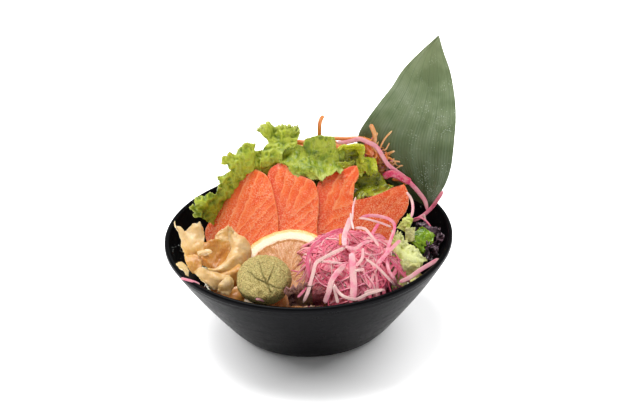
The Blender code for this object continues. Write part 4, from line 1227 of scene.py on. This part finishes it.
# Shreds laid one by one: each is its path, its width and thickness in millimetres, and its tint
RADISH_LINES = (
    ([(28, 40, 48), (21, 38, 47), (14, 34, 45), (8, 29, 42), (5, 24, 37), (5, 19, 32),
      (5, 15, 27)], 2.4, 0.36, 0.75),
    ([(29, 28, 42), (23, 25, 41), (16, 22, 39), (10, 17, 38), (8, 12, 34), (6, 7, 30), (4, 2, 26),
      (1, -1, 21)], 2.3, 0.36, 0.0),
    ([(6, 9, 30), (2, 4, 27), (-2, 1, 24)], 1.6, 0.32, 0.6),
    ([(33, 49, 51), (30, 39, 49), (28, 33, 46), (28, 27, 43)], 3.6, 0.32, 0.2),
    ([(28, 27, 43), (34, 24, 43), (39, 28, 44), (44, 31, 44)], 2.2, 0.32, 0.3),
    ([(32, 23, 41), (32, 17, 37), (32, 11, 32), (32, 5, 27), (31, -1, 22)], 4.4, 0.36, 0.28),
    ([(28, 19, 35), (23, 14, 33), (19, 9, 30), (17, 4, 26), (14, -1, 20)], 3.4, 0.36, 0.25),
    ([(20, 6, 28), (21, 3, 24), (22, -1, 20)], 2.0, 0.28, 0.05),
    ([(20, 7, 29), (23, 3, 25), (27, -1, 24), (33, -2, 23), (39, 1, 24), (46, 3, 25),
      (50, 5, 25)], 2.0, 0.28, 0.1),
    ([(12, 20, 37), (18, 18, 38), (26, 17, 37)], 1.4, 0.28, 0.1),
    ([(39, 26, 42), (38, 20, 38), (34, 15, 36)], 1.9, 0.28, 0.15),
    ([(38, 53, 48), (46, 52, 50), (56, 49, 49), (60, 45, 46), (57, 37, 41), (52, 23, 36)], 2.1, 0.32, 0.45),
    ([(38, 53, 48), (44, 47, 50), (52, 45, 48), (58, 45, 45)], 1.4, 0.24, 0.1),
    ([(50, 45, 48), (47, 39, 47), (44, 33, 45)], 2.0, 0.28, 0.7),
    ([(35, 39, 49), (41, 37, 49), (45, 32, 46), (49, 27, 42)], 1.8, 0.32, 0.05),
    ([(63, 39, 39), (58, 31, 39), (53, 24, 38), (47, 18, 35)], 2.3, 0.32, 0.35),
    ([(53, 25, 36), (54, 17, 31), (57, 15, 26), (59, 17, 20)], 2.0, 0.32, 0.5),
    ([(40, 20, 38), (47, 16, 34), (53, 13, 28), (58, 14, 21)], 1.7, 0.28, 0.1),
    ([(37, 63, 58), (35, 58, 54), (34, 50, 51), (32, 39, 48)], 1.2, 0.32, 0.15),
    ([(33, 53, 52), (33, 46, 51), (34, 37, 49)], 1.4, 0.32, 0.05),
    ([(33, 13, 34), (39, 14, 34)], 1.8, 0.32, 0.0),
    ([(38, 3, 24), (43, 4, 25), (51, 7, 23)], 1.8, 0.28, 0.05),
    ([(60, 15, 23), (67, 20, 23), (74, 28, 23), (82, 37, 22), (88, 43, 22)], 2.8, 0.36, 0.25),
    ([(-4, 7, 21), (1, 9, 24), (6, 13, 27)], 1.6, 0.32, 0.8),
    ([(-27, 0, 25), (-24, 0.5, 24), (-22, 1.5, 22)], 1.5, 0.32, 0.4),
    ([(0, 43, 30), (3, 37, 28), (7, 31, 30), (8, 25, 33)], 0.8, 0.2, 0.6),
    ([(-6, 33, 24), (0, 31, 24), (6, 33, 28), (12, 36, 33)], 0.9, 0.2, 0.6),
    ([(-3, 25, 20), (2, 28, 23), (4, 36, 29), (10, 41, 35)], 0.8, 0.2, 0.35),
    ([(-74, 27, 25), (-70, 25, 25), (-66, 24, 24), (-62, 22, 23)], 1.6, 0.28, 0.35),
)
LONG_LINES = (
    ([(-5, 17, 44), (0, 17, 43.5), (6, 16, 45), (11, 16, 46), (16, 15, 44), (20, 15, 42), (23, 14, 39),
      (28, 13, 30), (31, 13, 26), (36, 12, 22), (40, 11, 19), (46, 9, 13), (51, 7, 7), (54, 4, 3),
      (55, 0, -2)], 3.1, 0.9, 0.38),
)
RIM_LINES = (
    ([(21, 6, 21), (17, 6, 14), (13, 6, 8), (7, 4, 3.5), (0, 1, 1.5)], 2.6, 1.0, 0.5),
    ([(-2, 1, 2), (5, 1, 4), (10, -3, 2), (13, -9, -2)], 1.3, 0.7, 0.7),
    ([(8, 2, 6), (8.5, 0, 3), (9, -2, 0)], 1.4, 0.7, 0.05),
    ([(-18, 19, 26), (-14, 19, 28.5), (-10, 19, 28), (-5, 19, 25), (1, 20, 21)], 5.0, 0.9, 0.95),
    ([(-4, 1, 24), (-1, -4, 20), (-1, -11, 16), (-4, -18, 12)], 1.9, 0.8, 0.12),
)


def right_of_lemon(x, y):
    return x > -0.001 + 0.3 * abs(y + 0.055)


def make_radish():
    """The pink heap, its shreds in the lemon's way left out and its top pressed down, and the long shreds."""
    node, slot = "radish_shreds", "pink_radish"
    pressed = {"start": 0.073, "share": 0.45}
    core_of("radish_core", node, RADISH_CORE, slot, 0.0038, 0.006, **pressed)
    ribbons = scatter(node, 190, 7, length=(18, 44), width=(1.2, 3.0), thick=(0.25, 0.35), lift=(-4.2, -2.4),
                      arch=0.8, keep=right_of_lemon, points=17, **pressed)
    heap("radish_ribbons", ribbons, (0.3, 0.5, 0.65, 0.8), (0.25, 0.35, 0.25, 0.15), RADISH_RIBBON, slot, 8)
    loose = scatter(node, 70, 8, length=(14, 34), width=(0.5, 1.3), thick=(0.3, 0.5), lift=(-3.2, -1.4),
                    arch=1.6, keep=right_of_lemon, bend=2.2, **pressed)
    heap("radish_loose", loose, (0.05, 0.3, 0.6, 0.95), (0.2, 0.35, 0.25, 0.2), RADISH, slot)
    lay("radish_laid", node, RADISH_LINES, RADISH, slot, sides=8)
    slot, node = "radish_strand", "radish_strand_long"
    lay("strand_long", node, LONG_LINES, RADISH, slot, 70, (node,), 8)
    node = "radish_strand_rim"
    lay("strand_rim", node, RIM_LINES, RADISH, slot, 30, (node,), 8)


CARROT_LINES = (
    ([(31, 19, 65), (38, 19, 65.5), (43, 19, 65), (50, 19, 66)], 3.4, 0.9, 0.45),
    ([(58, 21, 66), (65, 21, 66), (71, 21, 65.5), (76, 20, 66), (82, 20, 65.5),
      (90, 20, 63)], 3.0, 0.9, 0.55),
    ([(92, 19, 55), (90.5, 19, 60), (91, 19, 65), (91, 19, 69), (90, 20, 72), (88.5, 20, 76)], 3.2, 0.9, 0.3),
    ([(87, 19, 63), (91, 19, 66), (93, 19, 70)], 1.6, 0.8, 0.3),
    ([(94, 19, 57), (97, 20, 63), (99, 20, 66), (103, 21, 70)], 1.2, 0.8, 0.15),
    ([(97, 19, 56), (99, 19, 58), (101, 19, 62)], 1.0, 0.7, 0.0),
    ([(99, 17, 53), (102, 17, 51), (104, 17, 49), (106, 17, 46), (110, 16, 46)], 1.2, 0.7, 0.3),
    ([(102, 17, 50), (105, 17, 49), (108, 16, 49)], 1.0, 0.7, 0.2),
    ([(84, 15, 64), (87, 14, 59), (87, 14, 55), (85, 13, 51)], 3.4, 0.9, 0.8),
    ([(88, 15, 63), (89, 15, 58), (88, 14, 53), (89, 14, 49)], 2.4, 0.9, 0.7),
    ([(89, 15, 62), (92, 15, 57), (91, 14, 54), (89, 14, 50)], 1.8, 0.9, 0.35),
    ([(102, 10, 39), (108, 10, 38), (112, 9, 35)], 2.2, 0.9, 0.6),
    ([(64, -68, 43), (64, -71, 41), (63.5, -74, 38)], 2.6, 0.8, 0.6),
)
UPRIGHT_LINES = (
    ([(0.5, -1, -2), (1, 1, 5), (1.3, 2, 11), (2, 2.3, 16), (4.3, 3, 20)], 2.8, 1.6, 0.45),
)


def make_carrot():
    node, slot = "carrot_shreds", "carrot"
    core_of("carrot_core", node, CARROT_CORE, slot, 0.0030, 0.006)
    size = {"width": (1.0, 2.0), "thick": (0.8, 1.2)}
    tints = (0.1, 0.35, 0.6, 0.85), (0.12, 0.33, 0.35, 0.2)
    loose = scatter(node, 260, 13, length=(14, 40), lift=(-1.6, 0.6), arch=2.0, **size)
    heap("carrot_loose", loose, *tints, CARROT, slot)
    at_back = lambda x, y: y > 0.056
    behind = scatter(node, 110, 17, length=(14, 34), lift=(-1.4, 0.6), arch=1.6, keep=at_back, **size)
    heap("carrot_behind", behind, *tints, CARROT, slot)
    spine, radius = near(node, [(87, 23, 56), (92, 23, 51), (97, 22, 46), (102, 21, 42)]), 0.006
    tints = (0.0, 0.2, 0.4, 0.7), (0.3, 0.3, 0.25, 0.15)
    heap("carrot_tangle", tangle(spine, radius, 190, 19, (8, 17), (1.0, 2.2)), *tints, CARROT, slot)
    tints = (0.1, 0.5, 0.8), None
    heap("radish_tangle", tangle(spine, radius, 40, 23, (8, 15), (1.0, 2.2)), *tints, RADISH, "radish_strand")
    lay("carrot_laid", node, CARROT_LINES, CARROT, slot)
    node = "carrot_strand_upright"
    lay("carrot_upright", node, UPRIGHT_LINES, CARROT, "carrot_strand", 30, (node,), 8)


def clear_of_leaves(x, y):
    """Whether a place is neither under the wet leaf nor right at the front rim."""
    by_the_wet_leaf = 0.022 < x < 0.062 and -0.006 < y < 0.026
    by_the_rim = y < -0.04 and not -0.03 < x < 0.045
    return not by_the_wet_leaf and not by_the_rim


def make_bed():
    node, slot = "vegetable_bed", "shredded_vegetables"
    core_of("bed_core", node, BED_CORE, slot, 0.0020, 0.008)
    loose = scatter(node, 420, 21, length=(16, 42), width=(1.0, 2.0), thick=(0.7, 1.1), lift=(-1.4, 0.3),
                    arch=1.0, keep=clear_of_leaves, points=12)
    heap("bed_loose", loose, (0.05, 0.35, 0.7, 1.0), (0.4, 0.35, 0.17, 0.08), BED, slot)


# ------------------------------------------------------------------ water in the bowl

# Where the drops are round the wall: the middle and the spread of their angles in degrees, and how many
BEADS = ((180, 26, 46), (5, 16, 34), (215, 10, 16), (150, 10, 12))
BEADS_LOW, BEADS_HIGH = 0.044, 0.061


def make_beads():
    """Drops of water on the bowl's inner wall."""
    rng = np.random.default_rng(31)
    wall = surface_of("bowl")
    shape = bmesh.new()
    for angle, spread, count in BEADS:
        for _ in range(count):
            a = math.radians(rng.normal(angle, spread))
            z = rng.uniform(BEADS_LOW, BEADS_HIGH)
            spot = wall.ray_cast(Vector((0, 0, z)), Vector((math.cos(a), math.sin(a), 0)))[0]
            size = mm(rng.uniform(0.25, 0.6) if rng.uniform() < 0.8 else rng.uniform(0.6, 1.0))
            facing = -Vector((math.cos(a), math.sin(a), -0.9)).normalized()
            turn = Vector((0, 0, 1)).rotation_difference(facing).to_matrix().to_4x4()
            shares = Matrix.Diagonal((size, size * rng.uniform(0.8, 1.3), size * 0.55, 1))
            place = Matrix.Translation(spot) @ turn @ shares
            bmesh.ops.create_icosphere(shape, subdivisions=2, radius=1.0, matrix=place)
    add_piece("water_beads", *vertices_and_faces(shape), water_finish(), "black_melamine")


# ------------------------------------------------------------------ floor, light and camera


FLOOR_SIZE, FLOOR_GAP = 6.0, 0.0002


def add_object(name, data):
    made = bpy.data.objects.new(name, data)
    bpy.context.scene.collection.objects.link(made)
    return made


def make_stage():
    mesh = bpy.data.meshes.new("floor")
    corners = [(FLOOR_SIZE * x, FLOOR_SIZE * y, 0) for x, y in ((-1, -1), (1, -1), (1, 1), (-1, 1))]
    mesh.from_pydata(corners, [], [(0, 1, 2, 3)])
    mesh.materials.append(floor_paper())
    floor = add_object("floor", mesh)
    floor.location.z = cad_low.z - FLOOR_GAP
    return floor


def add_sun(name, strength, width, towards):
    """A sun lamp. width is how soft it is, in degrees, and towards points from the bowl to it."""
    light = bpy.data.lights.new(name, "SUN")
    light.energy = strength
    light.angle = math.radians(width)
    lamp = add_object(name, light)
    lamp.rotation_euler = Vector(towards).to_track_quat("Z", "Y").to_euler()
    return lamp


def make_light(floor):
    world = bpy.data.worlds.new("studio")
    bpy.context.scene.world = world
    world.use_nodes = True
    sky = world.node_tree.nodes["Background"].inputs
    sky["Color"].default_value = (1.0, 1.0, 1.0, 1.0)
    sky["Strength"].default_value = 0.42
    add_sun("overhead", 3.1, 38, (-0.16, 0.30, 1.0))
    floor_only = bpy.data.collections.new("floor_only")
    floor_only.objects.link(floor)
    for side in (-1, 1):
        add_sun("floor_wash", 3.8, 50, (side, 0.6, 1.0)).light_linking.receiver_collection = floor_only


# The camera looks at the bowl from the front and above, turned a little about its own line of sight.
CAMERA_DISTANCE = 0.8
CAMERA_RISE = math.radians(31.374)
AIM_HEIGHT = 0.035
LOOK_DOWN = math.radians(28.5545)
LOOK_ASIDE = math.radians(0.171)
ROLL = math.radians(2.228)
LENS, SENSOR = 68.90, 36.0


def make_camera():
    level, fall = math.cos(LOOK_DOWN), math.sin(LOOK_DOWN)
    forward = Vector((math.sin(LOOK_ASIDE) * level, math.cos(LOOK_ASIDE) * level, -fall))
    right = forward.cross(Vector((0, 0, 1))).normalized()
    up = right.cross(forward)
    across = right * math.cos(ROLL) - up * math.sin(ROLL)
    top = up * math.cos(ROLL) + right * math.sin(ROLL)
    data = bpy.data.cameras.new("camera")
    data.lens = LENS
    data.sensor_width = SENSOR
    camera = add_object("camera", data)
    back, rise = CAMERA_DISTANCE * math.cos(CAMERA_RISE), CAMERA_DISTANCE * math.sin(CAMERA_RISE)
    place = Matrix.Translation((0, -back, rise + AIM_HEIGHT))
    camera.matrix_world = place @ Matrix((across, top, -forward)).transposed().to_4x4()
    bpy.context.scene.camera = camera


make_bowl()
for order, details in enumerate(SLICES, 1):
    make_slice(order, *details)
make_lemon()
make_wasabi()
make_lettuce()
make_small_leaves()
make_bamboo_leaf()
make_ginger()
make_radish()
make_carrot()
make_bed()
make_beads()
make_light(make_stage())
make_camera()
bpy.context.scene.view_settings.view_transform = "Standard"
